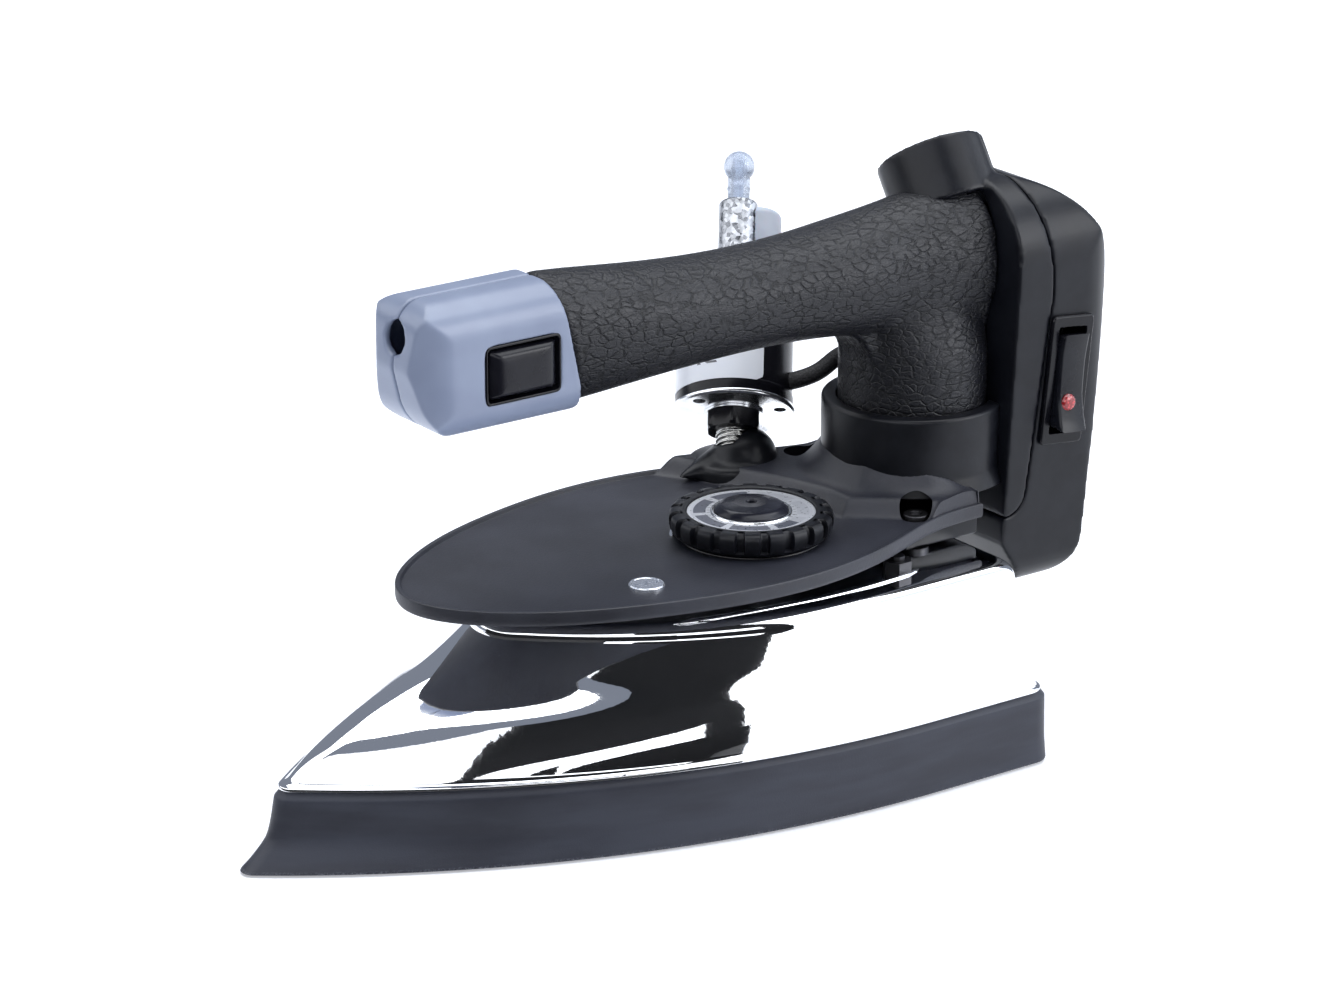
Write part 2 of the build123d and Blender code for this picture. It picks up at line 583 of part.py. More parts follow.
def core_path(foot, nose):
    """Bent line of the handle's steel core: up the leg, then forward."""
    return FilletPolyline((LEG_X, 0, foot), (LEG_X, 0, GRIP_Z), (nose, 0, GRIP_Z), radius=2.2 * CORE_R)


def joint_cutter():
    """Everything in front of the leaning joint between grip and cap."""
    slope = radians(JOINT_SLOPE)
    plane = Plane(origin=(JOINT_TOP_X, 0, GRIP_Z + CAP_HALF_HEIGHT), x_dir=(0, 1, 0),
                  z_dir=(cos(slope), 0, -sin(slope)))
    return extrude(plane * Rectangle(200, 200), amount=120, dir=plane.z_dir)


def make_handle():
    nose = JOINT_TOP_X - 2.0
    tube = along(core_path(PLATE_FOOT_Z, nose), CORE_R)
    parts["handle_core"] = tube - along(core_path(PLATE_FOOT_Z - 1, nose + 1), CORE_R - CORE_WALL)
    rear_x = HOUSING_FRONT_X - HOUSING_LEAN - 1
    # station along X, centre height, half width, half height
    stations = (
        (JOINT_TOP_X + 8, GRIP_Z + 0.2, CAP_HALF_WIDTH, CAP_HALF_HEIGHT),
        (JOINT_TOP_X - 12, GRIP_Z, CAP_HALF_WIDTH - 0.5, CAP_HALF_HEIGHT - 0.7),
        (JOINT_TOP_X - 38, GRIP_Z - 0.4, 14.6, 15.0),
        (JOINT_TOP_X - 66, GRIP_Z - 0.5, 14.6, 13.9),
        (JOINT_TOP_X - 92, GRIP_Z - 0.4, 16.2, 15.0),
        (JOINT_TOP_X - 113, GRIP_Z - 0.6, 19.0, 17.8),
        (rear_x, GRIP_Z - 2.5, HOUSING_HALF_WIDTH - 3.5, 23.0),
    )
    bar = loft([across(x, z) * Ellipse(wide, tall) for x, z, wide, tall in stations])
    bar -= joint_cutter()
    leg = post(LEG_X, 0, DECK_Z - 3 + PART_GAP, GRIP_Z, LEG_R)
    front = LEG_X + LEG_R
    crook = make_face([
        ThreePointArc((front - 0.6, GRIP_Z - 29), (front + 2.6, GRIP_Z - 18), (front + 13, GRIP_Z - 13.4)),
        Line((front + 13, GRIP_Z - 13.4), (front - 8, GRIP_Z - 10)),
        Line((front - 8, GRIP_Z - 10), (front - 8, GRIP_Z - 29)),
        Line((front - 8, GRIP_Z - 29), (front - 0.6, GRIP_Z - 29)),
    ])
    grip = bar + leg + slab(Plane.XZ * crook, 8.0)
    grip -= on_axis(OUTLET_PLANE, OUTLET_FOOT - MOVE_GAP, OUTLET_LENGTH + 2, OUTLET_R + PART_GAP)
    grip -= on_axis(OUTLET_PLANE, OUTLET_BORE_FOOT - MOVE_GAP, OUTLET_FOOT, OUTLET_BORE_R + MOVE_GAP)
    grip -= behind_front(MOVE_GAP)
    grip -= along(core_path(PLATE_FOOT_Z - 20, JOINT_TOP_X + 30), CORE_R + PART_GAP)
    split = LEG_X + LEG_R
    parts["handle_grip"] = grip & block(split + PART_GAP / 2, JOINT_TOP_X + 60, -60, 60, 0, 200)
    parts["handle_leg"] = grip & block(HOUSING_REAR_X, split - PART_GAP / 2, -60, 60, 0, 200)


def cap_body(inset):
    """Handle cap: rounded section, leaning nose, rounded in plan."""
    tall = CAP_HALF_HEIGHT - inset
    wide = CAP_HALF_WIDTH - inset
    nose = CAP_NOSE_X - inset
    corner = CAP_CORNER_R - inset
    section = across(-10, GRIP_Z) * RectangleRounded(2 * wide, 2 * tall, corner)
    bar = extrude(section, amount=90, dir=(1, 0, 0))
    profile = side_face([(-12, GRIP_Z - tall), (-12, GRIP_Z + tall), (nose - 2, GRIP_Z + tall),
                         (nose, GRIP_Z + 1), (nose - 4.5, GRIP_Z - tall)],
                        [0, 0, 8 - inset, 6, CAP_CHIN_R - inset])
    plan = make_face(Polyline((-12, -wide), (nose + 1, -wide), (nose + 1, wide), (-12, wide), close=True))
    plan = fillet(plan.vertices().sort_by(Axis.X)[-2:], 12 - inset)
    return bar & slab(profile, 40) & extrude(plan, amount=250)


def button_slot(gap, low, high):
    """Rounded block in the cap's left side, as large as the button plus gap."""
    plane = Plane(origin=(BUTTON_X, low, BUTTON_Z), x_dir=(1, 0, 0), z_dir=(0, 1, 0))
    corner = 1.6 + gap
    outline = plane * RectangleRounded(BUTTON_LENGTH + 2 * gap, BUTTON_HEIGHT + 2 * gap, corner)
    return extrude(outline, amount=high - low, dir=(0, 1, 0))


def make_cap():
    shell = cap_body(0) & joint_cutter()
    shell = shell - cap_body(CAP_WALL)
    frame_gap = 1.3
    face_y = CAP_HALF_WIDTH - 0.5
    shell -= button_slot(frame_gap + PART_GAP, 5, CAP_HALF_WIDTH + 5)
    shell -= Pos(CAP_NOSE_X, 0, CAP_HOLE_Z) * Rot(0, 90, 0) * Cylinder(CAP_HOLE_R, 24)
    screw_x, screw_z = CAP_NOSE_X - 10, GRIP_Z - 10.5
    boss = Pos(screw_x, 0, screw_z) * Rot(90, 0, 0) * Cylinder(3.6, 2 * CAP_HALF_WIDTH - 2)
    shell += boss & cap_body(0.5)
    well = Plane(origin=(screw_x, -4, screw_z), z_dir=(0, -1, 0))
    shell -= on_axis(well, 0, 30, SCREW_HEAD_R - 0.8)
    shell -= on_axis(well, -12, 30, 1.3)
    parts["cap_left"] = shell & block(-50, 100, PART_GAP / 2, 50, 80, 180)
    parts["cap_right"] = shell & block(-50, 100, -50, -PART_GAP / 2, 80, 180)
    screw = on_axis(well, -11.5, 0, 1.25) + on_axis(well, 0, 1.8, SCREW_HEAD_R - 1)
    parts["cap_screw"] = screw
    frame = button_slot(frame_gap, face_y - 5, face_y) - button_slot(BUTTON_GAP, 0, CAP_HALF_WIDTH + 5)
    lip = button_slot(frame_gap + 2, face_y - 5, CAP_HALF_WIDTH - CAP_WALL - PART_GAP)
    lip &= cap_body(CAP_WALL + PART_GAP) & joint_cutter()
    frame += lip - button_slot(BUTTON_GAP, 0, CAP_HALF_WIDTH + 5)
    parts["button_frame"] = frame
    crown = CAP_HALF_WIDTH + 1.6
    button = button_slot(0, face_y - 7, crown)
    parts["steam_button"] = chamfer(button.edges().group_by(Axis.Y)[-1], 1.1)
    back = face_y - 7
    centre = (BUTTON_X, 0, BUTTON_Z)
    stem = Plane(origin=centre, z_dir=(0, 1, 0))
    parts["microswitch_plunger"] = on_axis(stem, back - 4.5, back, 1.3)
    body = block(BUTTON_X - 8, BUTTON_X + 8, -9, back - BUTTON_TRAVEL - 1, BUTTON_Z - 5, BUTTON_Z + 5)
    parts["microswitch"] = body - on_axis(stem, back - 4.5 - BUTTON_TRAVEL - 0.5, back, 1.3 + SHAFT_GAP)


def housing_body(inset):
    """Tall rear housing: side profile, arch from the front, rounded in plan."""
    front = HOUSING_FRONT_X - inset
    rear = HOUSING_REAR_X + inset
    top, foot = HOUSING_TOP_Z - inset, HOUSING_FOOT_Z + inset
    wide = HOUSING_HALF_WIDTH - inset
    profile = side_face(
        [(front, foot + 14), (front - HOUSING_LEAN, top), (rear, top), (rear + 14, foot),
         (front - 9, foot)],
        [0, 0, HOUSING_CROWN_R - inset, 13 - inset, 3],
    )
    arch = make_face(Polyline((-wide, foot), (wide, foot), (wide, top), (-wide, top), close=True))
    arch = fillet(arch.vertices().group_by(Axis.Y)[-1], HOUSING_ARCH_R - inset)
    arch = fillet(arch.vertices().group_by(Axis.Y)[0], 9 - inset)
    arch = extrude(Plane(origin=(0, 0, 0), x_dir=(0, 1, 0), z_dir=(1, 0, 0)) * arch, amount=-220)
    plan = make_face(Polyline((front, -wide), (front, wide), (rear, wide), (rear, -wide), close=True))
    plan = fillet(plan.vertices().group_by(Axis.X)[0], HOUSING_EDGE_R - inset)
    return slab(profile, 60) & arch & extrude(plan, amount=260)


def front_region(grow):
    """Everything that belongs to the housing's front shell, grown by grow."""
    seam = SEAM_X - grow
    foot = SHELL_FOOT_Z - grow
    face = side_face(
        [(HOUSING_FRONT_X + 40, foot), (seam + 9.5, foot), (seam, 118), (seam + 9, 200),
         (HOUSING_FRONT_X + 40, 200)],
        [0, 7, 25, 0, 0],
    )
    return slab(face, 60)


def switch_plane(height):
    """Plane of the rocker switch: its own x runs up the housing, its own y across."""
    turn = radians(SWITCH_LEAN)
    return Plane(origin=(SWITCH_X, height, SWITCH_Z), x_dir=(-sin(turn), 0, cos(turn)), z_dir=(0, 1, 0))


def switch_block(length, width, low, high, corner=0.8):
    """Rounded block on the switch's plane, from low to high along +Y."""
    plane = switch_plane(low)
    return extrude(plane * RectangleRounded(length, width, corner), amount=high - low, dir=(0, 1, 0))


def make_housing():
    outlet = on_axis(OUTLET_PLANE, OUTLET_FOOT, OUTLET_LENGTH, OUTLET_R)
    shell = housing_body(0) - housing_body(HOUSING_WALL) + outlet
    shell -= on_axis(OUTLET_PLANE, OUTLET_BORE_FOOT, OUTLET_LENGTH + 1, OUTLET_BORE_R)
    inside = housing_body(HOUSING_WALL - 0.2)
    for y, z in SCREW_PLACES:
        boss_plane = Plane(origin=(HOUSING_FRONT_X, y, z), z_dir=(-1, 0, 0))
        shell += on_axis(boss_plane, 0, 60, SCREW_HEAD_R + 1) & inside
    for y, z in SCREW_PLACES:
        lane = Plane(origin=(SCREW_HEAD_X, y, z), z_dir=(-1, 0, 0))
        shell -= on_axis(lane, 0, 40, SCREW_HEAD_R - 0.4)
        shell -= on_axis(lane, -24, 1, 1.5)
    shell -= Pos(HOUSING_FRONT_X, 0, GRIP_Z - 8) * Rot(0, 90, 0) * Cylinder(9, 20)
    body_length, body_width = SWITCH_LENGTH - 5, SWITCH_WIDTH - 3
    shell -= switch_block(body_length + 2 * PART_GAP, body_width + 2 * PART_GAP, 0, 60)
    parts["housing_front"] = shell & front_region(0)
    parts["housing_rear"] = shell - front_region(PART_GAP)
    screws = []
    for y, z in SCREW_PLACES:
        lane = Plane(origin=(SCREW_HEAD_X, y, z), z_dir=(-1, 0, 0))
        screws.append(on_axis(lane, -23, 0, 1.45) + on_axis(lane, 0, 2, SCREW_HEAD_R - 0.6))
    parts["housing_screws"] = Compound(screws)
    terminal = block(HOUSING_FRONT_X - 25, HOUSING_FRONT_X - 14, -17, 17, 44, 57)
    for y in (-11, 0, 11):
        terminal -= Pos(HOUSING_FRONT_X - 19.5, y, 50.5) * Rot(0, 90, 0) * Cylinder(2.2, 20)
    parts["terminal_block"] = terminal


def rocker_axis():
    """Direction of the rocker's pivot: across the switch, towards the toe."""
    turn = radians(SWITCH_LEAN)
    return (cos(turn), 0, sin(turn))


def rocker_profile():
    """Rocker seen along its pivot: dished face, lower end proud."""
    half = ROCKER_LENGTH / 2
    return make_face([
        ThreePointArc((half, 1.0), (0, 1.5), (-half, 4.6)),
        Line((-half, 4.6), (-half + 0.6, 0.2)),
        ThreePointArc((-half + 0.6, 0.2), (0, -4.6), (half - 0.6, -2.4)),
        Line((half - 0.6, -2.4), (half, 1.0)),
    ])


def make_switch():
    face = HOUSING_HALF_WIDTH
    rim = face + 1.5
    pivot = face - 1.4
    body = switch_block(SWITCH_LENGTH, SWITCH_WIDTH, face, rim, 1.6)
    body = chamfer(body.edges().group_by(Axis.Y)[-1], 0.4)
    body += switch_block(SWITCH_LENGTH - 5, SWITCH_WIDTH - 3, face - 13, face)
    body -= switch_block(ROCKER_LENGTH + 2.6, ROCKER_WIDTH + 2 * MOVE_GAP, face - 8, rim + 5, 0.3)
    centre = Plane(origin=(SWITCH_X, pivot, SWITCH_Z), x_dir=switch_plane(0).x_dir, z_dir=rocker_axis())
    body -= extrude(centre * Circle(1.2 + SHAFT_GAP), amount=ROCKER_WIDTH / 2 + 1.2, both=True)
    for shift in (-8, 0, 8):
        tab = switch_plane(face - 19) * Pos(shift, 0) * Rectangle(0.8, 5)
        body += extrude(tab, amount=7, dir=(0, 1, 0))
    parts["switch_body"] = body
    # the plane's own y is z_dir x x_dir; the profile's y must point out along +Y
    outline = centre * (rocker_profile() if centre.y_dir.Y > 0 else mirror(rocker_profile(), Plane.XZ))
    rocker = extrude(outline, amount=ROCKER_WIDTH / 2, both=True)
    rocker += extrude(centre * Circle(1.2), amount=ROCKER_WIDTH / 2 + 1.0, both=True)
    lens_seat = Plane(origin=switch_plane(pivot).from_local_coords((-8.4, 0, 0)), z_dir=(0, 1, 0))
    rocker -= on_axis(lens_seat, 1.2, 12, LENS_R + PART_GAP / 2)
    parts["switch_rocker"] = rocker
    parts["switch_lens"] = on_axis(lens_seat, 1.2, 3.3, LENS_R)


def valve_piece(low, high, radius):
    """Cylinder on the valve's axis."""
    return on_axis(VALVE_PLANE, low, high, radius)


def lead_plane():
    """Plane of the valve's lead: it leaves the coil square to the collar."""
    axis = Vector(*VALVE_AXIS)
    start = Vector(*VALVE_FOOT) + axis * LEAD_HEIGHT
    target = Vector(LEG_X, 0, start.Z + 3)
    way = target - start
    way = (way - axis * way.dot(axis) * 0.8).normalized()
    return Plane(origin=start, z_dir=way)


def lead_reach():
    """Distance along the lead from the valve's axis to just inside the collar."""
    plane = lead_plane()
    ox, oy = plane.origin.X - LEG_X, plane.origin.Y
    dx, dy = plane.z_dir.X, plane.z_dir.Y
    a, b = dx * dx + dy * dy, ox * dx + oy * dy
    c = ox * ox + oy * oy - (COLLAR_R - COLLAR_WALL + 0.6)**2
    return (-b - sqrt(b * b - a * c)) / a


def make_valve():
    flange_foot = NUT_FOOT + NUT_THICK
    coil_foot = flange_foot + FLANGE_THICK
    coil_top = coil_foot + COIL_LENGTH
    nipple = valve_piece(-8, coil_foot + 2, NIPPLE_R) - valve_piece(-9, coil_foot + 0.8, NIPPLE_BORE_R)
    parts["valve_nipple"] = nipple - valve_piece(0, coil_foot + 3, 0.9)
    hexagon = VALVE_PLANE.offset(NUT_FOOT) * RegularPolygon(NUT_FLATS / 2, 6, major_radius=False)
    nut = extrude(hexagon, amount=NUT_THICK, dir=VALVE_AXIS)
    parts["lock_nut"] = nut - valve_piece(0, 30, NIPPLE_R + PART_GAP)
    flange = valve_piece(flange_foot, coil_foot, FLANGE_R) - valve_piece(0, 30, NIPPLE_R + PART_GAP)
    holes = []
    for turn in (45, 165, 285):
        spot = VALVE_PLANE * Rot(0, 0, turn) * Pos(FLANGE_R - 3.6, 0, 0)
        holes.append(spot * Cylinder(1.6, 60))
    for hole in holes:
        flange -= hole
    parts["valve_flange"] = flange
    tube_r = PLUNGER_R + SHAFT_GAP
    housing = valve_piece(coil_foot, coil_top, COIL_R)
    housing -= valve_piece(coil_foot + COIL_WALL, coil_top - COIL_WALL, COIL_R - COIL_WALL)
    housing -= valve_piece(0, coil_foot + COIL_WALL + 0.5, NIPPLE_R + PART_GAP)
    housing -= valve_piece(coil_top - COIL_WALL - 1, coil_top + 1, tube_r + 0.8 + PART_GAP)
    label_low, label_high = coil_foot + 3.0, coil_top - 4
    parts["coil_housing"] = housing
    sleeve = valve_piece(label_low, label_high, COIL_R + LABEL_THICK) - valve_piece(0, 80, COIL_R)
    bay_section = Rot(0, 0, LABEL_TURN) * Pos(COIL_R, 0) * Rectangle(2 * COIL_R, 4 * COIL_R)
    bay = extrude(VALVE_PLANE * bay_section, amount=80,
                  dir=VALVE_AXIS)
    parts["coil_label"] = sleeve - bay
    winding = valve_piece(coil_foot + 3, coil_top - 3, COIL_R - COIL_WALL - 1)
    parts["coil_winding"] = winding - valve_piece(0, 80, tube_r + 0.8 + 0.3)
    seat = coil_foot + 2.0
    tube = valve_piece(seat, coil_top + 3, tube_r + 0.8)
    parts["armature_tube"] = tube - valve_piece(seat - 1, coil_top + 4, tube_r)
    plunger_top = seat + 20
    parts["valve_plunger"] = valve_piece(seat + PART_GAP, plunger_top, PLUNGER_R)
    spring_foot = plunger_top + PLUNGER_TRAVEL + 0.2
    spring = valve_piece(spring_foot, spring_foot + 4, 2.5)
    spring -= valve_piece(spring_foot - 1, spring_foot + 5, 1.9)
    parts["plunger_spring"] = spring
    pole = valve_piece(spring_foot + 4, coil_top + 3, tube_r) - valve_piece(0, 90, 0.9)
    parts["pole_piece"] = pole
    head_top = coil_top + YOKE_LENGTH
    head = valve_piece(coil_top, head_top, YOKE_R) - valve_piece(coil_top - 1, coil_top + 3, tube_r + 0.8)
    parts["valve_head"] = head - valve_piece(coil_top, head_top + 1, 1.6)
    aside = VALVE_PLANE * Rot(0, 0, PLUG_TURN) * Pos(6.4, 0, coil_top)
    lug = aside * Cylinder(6.6, YOKE_LENGTH - 1.5, align=(Align.CENTER, Align.CENTER, Align.MIN))
    lug = fillet(lug.edges().filter_by(GeomType.CIRCLE).sort_by(Axis.Z)[-1:], 2.0)
    parts["coil_plug"] = lug - valve_piece(0, 90, YOKE_R + PART_GAP)
    barb = valve_piece(head_top, head_top + BARB_NECK + 1.5, BARB_NECK_R)
    ball_height = head_top + BARB_NECK + BARB_BALL_R - 0.6
    ball = Pos(*VALVE_PLANE.from_local_coords((0, 0, ball_height))) * Sphere(BARB_BALL_R)
    parts["hose_barb"] = (barb + ball) - valve_piece(head_top - 1, head_top + 30, 1.6)
    plane = lead_plane()
    coil = valve_piece(coil_foot - 3, coil_top, COIL_R + LABEL_THICK + PART_GAP)
    reach = lead_reach()
    gland = on_axis(plane, COIL_R - 2, COIL_R + 3.2, LEAD_R + 1.2) - coil
    parts["lead_gland"] = gland - on_axis(plane, 0, reach, LEAD_R)
    parts["valve_lead"] = on_axis(plane, COIL_R - 2, reach, LEAD_R) - coil
    parts["base_plate"] = parts["base_plate"] - on_axis(plane, COIL_R, reach + 3, LEAD_R + PART_GAP)


def main():
    make_soleplate()
    make_chamber_lid()
    make_element()
    make_cover()
    make_base()
    make_fixings()
    make_water_tube()
    make_thermostat()
    make_knob()
    make_handle()
    make_cap()
    make_housing()
    make_switch()
    make_valve()
    os.makedirs("parts", exist_ok=True)
    for name, shape in parts.items():
        export_step(shape, os.path.join("parts", name + ".step"))


main()
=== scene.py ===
"""Steam iron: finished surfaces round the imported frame.

Shapes are worked out in millimetres and become metres when their mesh is made.
+X is the toe, +Y the iron's left, +Z up; the origin is on the sole's face.
"""
import json
from math import acos, asin, atan2, cos, pi, radians, sin, sqrt, tan

import bmesh
import bpy
import numpy as np
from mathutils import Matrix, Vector


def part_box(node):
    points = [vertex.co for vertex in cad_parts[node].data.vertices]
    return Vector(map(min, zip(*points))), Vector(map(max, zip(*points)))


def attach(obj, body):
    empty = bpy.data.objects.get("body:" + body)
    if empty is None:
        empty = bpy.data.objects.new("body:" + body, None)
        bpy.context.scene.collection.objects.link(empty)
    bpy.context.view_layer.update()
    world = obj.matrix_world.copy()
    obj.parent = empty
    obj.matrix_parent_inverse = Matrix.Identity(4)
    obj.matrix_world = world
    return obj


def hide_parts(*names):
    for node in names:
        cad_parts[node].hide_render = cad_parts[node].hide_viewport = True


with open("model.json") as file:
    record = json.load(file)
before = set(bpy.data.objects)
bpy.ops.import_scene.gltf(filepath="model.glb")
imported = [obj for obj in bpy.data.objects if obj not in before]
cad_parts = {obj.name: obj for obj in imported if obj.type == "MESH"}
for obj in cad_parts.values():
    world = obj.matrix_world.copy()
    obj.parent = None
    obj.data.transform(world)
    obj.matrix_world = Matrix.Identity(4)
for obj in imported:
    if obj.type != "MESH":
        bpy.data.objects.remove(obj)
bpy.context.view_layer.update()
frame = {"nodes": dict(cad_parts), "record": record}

MM = 0.001
record = frame["record"]
mounts = {m["name"]: m for m in record["mounts"]}
SLOTS = {s["node"]: s["material_slot"] for s in record["subparts"]}


def span(node):
    """Lowest and highest corner of a CAD node, in millimetres."""
    low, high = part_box(node)
    return np.array(low) / MM, np.array(high) / MM


def middle(node):
    """Centre of a CAD node's box."""
    low, high = span(node)
    return (low + high) / 2


def halves(node):
    """Half of a CAD node's size along each axis."""
    low, high = span(node)
    return (high - low) / 2


# ---------------------------------------------------------------- finishes
class Wire:
    """A shader value that can be used in sums."""

    def __init__(self, finish, socket):
        self.finish, self.socket = finish, socket

    def _math(self, operation, *values):
        return self.finish.node("ShaderNodeMath", {"operation": operation}, values)

    def __add__(self, other):
        return self._math("ADD", self, other)

    def __radd__(self, other):
        return self._math("ADD", other, self)

    def __sub__(self, other):
        return self._math("SUBTRACT", self, other)

    def __rsub__(self, other):
        return self._math("SUBTRACT", other, self)

    def __mul__(self, other):
        return self._math("MULTIPLY", self, other)

    def __rmul__(self, other):
        return self._math("MULTIPLY", other, self)

    def __truediv__(self, other):
        return self._math("DIVIDE", self, other)

    def __lt__(self, other):
        return self._math("LESS_THAN", self, other)

    def __gt__(self, other):
        return self._math("GREATER_THAN", self, other)

    def __mod__(self, other):
        return self._math("FLOORED_MODULO", self, other)

    def __abs__(self):
        return self._math("ABSOLUTE", self)


class Finish:
    """A surface finish: one material and the nodes behind it."""

    def __init__(self, name, colour, roughness, **shader):
        self.material = bpy.data.materials.new(name)
        self.material.use_nodes = True
        self.tree = self.material.node_tree
        self.shader = self.tree.nodes["Principled BSDF"]
        self.shader.inputs["Base Color"].default_value = (*colour, 1.0)
        self.shader.inputs["Roughness"].default_value = roughness
        for key, value in shader.items():
            self.shader.inputs[key.replace("_", " ")].default_value = value

    def node(self, kind, settings=None, sockets=(), out=0):
        """Adds a node: its settings first, then its sockets; returns one output."""
        made = self.tree.nodes.new(kind)
        for key, value in (settings or {}).items():
            setattr(made, key, value)
        pairs = sockets.items() if isinstance(sockets, dict) else enumerate(sockets)
        for key, value in pairs:
            self.feed(made.inputs[key], value)
        return Wire(self, made.outputs[out])

    def feed(self, socket, value):
        """Links a wire to a socket, or sets a plain value on it."""
        if isinstance(value, Wire):
            self.tree.links.new(value.socket, socket)
        else:
            socket.default_value = value

    def place(self):
        """Where a point of the piece lies, in metres."""
        return self.node("ShaderNodeTexCoord", out="Object")

    def axes(self, place=None):
        """The three numbers of a place."""
        parts = self.node("ShaderNodeSeparateXYZ", {}, [place or self.place()]).socket.node
        return [Wire(self, parts.outputs[k]) for k in range(3)]

    def stretched(self, scale, place=None):
        """A place scaled along each axis, for drawn-out textures."""
        return self.vector("MULTIPLY", place or self.place(), scale)

    def noise(self, scale, detail=3.0, rough=0.55, place=None):
        return self.node("ShaderNodeTexNoise", {}, {"Vector": place or self.place(), "Scale": scale,
                                                    "Detail": detail, "Roughness": rough})

    def cells(self, scale, feature="F1", place=None):
        return self.node("ShaderNodeTexVoronoi", {"feature": feature},
                         {"Vector": place or self.place(), "Scale": scale})

    def colours(self, texture):
        """The colour output of a texture's node."""
        return Wire(self, texture.socket.node.outputs["Color"])

    def vector(self, operation, *values, out=0):
        return self.node("ShaderNodeVectorMath", {"operation": operation}, values, out)

    def between(self, value, low, high):
        """0 below low, 1 above high, smooth between."""
        return self.node("ShaderNodeMapRange", {"interpolation_type": "SMOOTHSTEP"},
                         {"Value": value, "From Min": low, "From Max": high})

    def blend(self, share, first, second):
        """Colour between two colours."""
        first, second = (c if isinstance(c, Wire) else (*c, 1.0) for c in (first, second))
        return self.node("ShaderNodeMix", {"data_type": "RGBA"}, {0: share, 6: first, 7: second}, 2)

    def paint(self, colour):
        self.feed(self.shader.inputs["Base Color"], colour)

    def mottle(self, cloud, first, second):
        """Paints with a soft mix of two near colours."""
        self.paint(self.blend(self.between(cloud, 0.3, 0.7), first, second))

    def gloss(self, roughness):
        self.feed(self.shader.inputs["Roughness"], roughness)

    def relief(self, height, depth_mm):
        """Adds a bump on top of any bump that is there already."""
        bump = self.node("ShaderNodeBump", {},
                         {"Height": height, "Distance": depth_mm * MM, "Strength": 1.0})
        old = self.shader.inputs["Normal"].links
        if old:
            self.feed(bump.socket.node.inputs["Normal"], Wire(self, old[0].from_socket))
        self.feed(self.shader.inputs["Normal"], bump)


def per_mm(cell_mm):
    """Texture scale for features about cell_mm across."""
    return 1.0 / (cell_mm * MM)


def moulded(name, colour, lift, roughness, grain_mm=0.35, depth_mm=0.02, **shader):
    """Moulded plastic: fine grain, slightly uneven colour and gloss."""
    f = Finish(name, colour, roughness, Specular_IOR_Level=0.26, **shader)
    cloud = f.noise(per_mm(9.0), 3.0)
    grain = f.noise(per_mm(grain_mm), 2.0)
    f.mottle(cloud, colour, lift)
    f.gloss(cloud * 0.12 + (roughness - 0.06))
    f.relief(grain, depth_mm)
    return f


def metal(name, colour, roughness, streak=(1, 1, 14), depth_mm=0.006, **shader):
    """Bare metal with faint machining streaks."""
    f = Finish(name, colour, roughness, Metallic=1.0, **shader)
    lines = f.noise(per_mm(0.8), 3.0, 0.6, f.stretched(streak))
    cloud = f.noise(per_mm(6.0), 3.0)
    f.mottle(cloud, tuple(c * 0.86 for c in colour), colour)
    f.gloss(lines * 0.16 + (roughness - 0.06))
    f.relief(lines, depth_mm)
    return f


def sole_finish():
    """Dark cast coating, painted paler grey in mottled patches along the sole's lowest 1.1 mm."""
    f = Finish("coated_sole", (0.020, 0.023, 0.034), 0.5, Specular_IOR_Level=0.4)
    cast = f.noise(per_mm(0.55), 4.0, 0.65)
    drift = f.noise(per_mm(14.0), 3.0, 0.5, f.stretched((0.35, 0.35, 2.0)))
    # the lowest 1.1 mm of the sole is painted paler grey, in patches set by the cast noise
    lowest_band = 1.0 - f.between(f.axes()[2], 0.0, 1.1 * MM)
    tone = f.blend(f.between(drift, 0.3, 0.7), (0.017, 0.019, 0.030), (0.030, 0.034, 0.050))
    f.paint(f.blend(lowest_band * f.between(cast, 0.45, 0.7), tone, (0.16, 0.17, 0.20)))
    f.gloss(drift * 0.2 + 0.36)
    f.relief(cast, 0.05)
    return f


def chrome_finish():
    """Mirror plating with the slight waves of pressed sheet."""
    f = Finish("mirror_chrome", (0.86, 0.87, 0.89), 0.03, Metallic=1.0)
    peel = f.noise(per_mm(2.4), 2.0)
    wave = f.noise(per_mm(34.0), 1.0)
    haze = f.noise(per_mm(0.25), 2.0)
    f.gloss(f.between(haze, 0.35, 0.8) * 0.04 + 0.015)
    f.relief(wave, 0.30)
    f.relief(peel, 0.006)
    return f


def panel_finish():
    """Blue-black moulding with a pebbled grain."""
    f = Finish("grained_panel", (0.020, 0.021, 0.030), 0.5, Specular_IOR_Level=0.5)
    fine = f.noise(per_mm(0.22), 3.0, 0.7)
    pebble = f.cells(per_mm(0.7), "SMOOTH_F1")
    cloud = f.noise(per_mm(22.0), 3.0)
    f.mottle(cloud, (0.012, 0.013, 0.021), (0.022, 0.024, 0.036))
    f.gloss(cloud * 0.14 + 0.40)
    f.relief(pebble + fine * 0.8, 0.035)
    return f


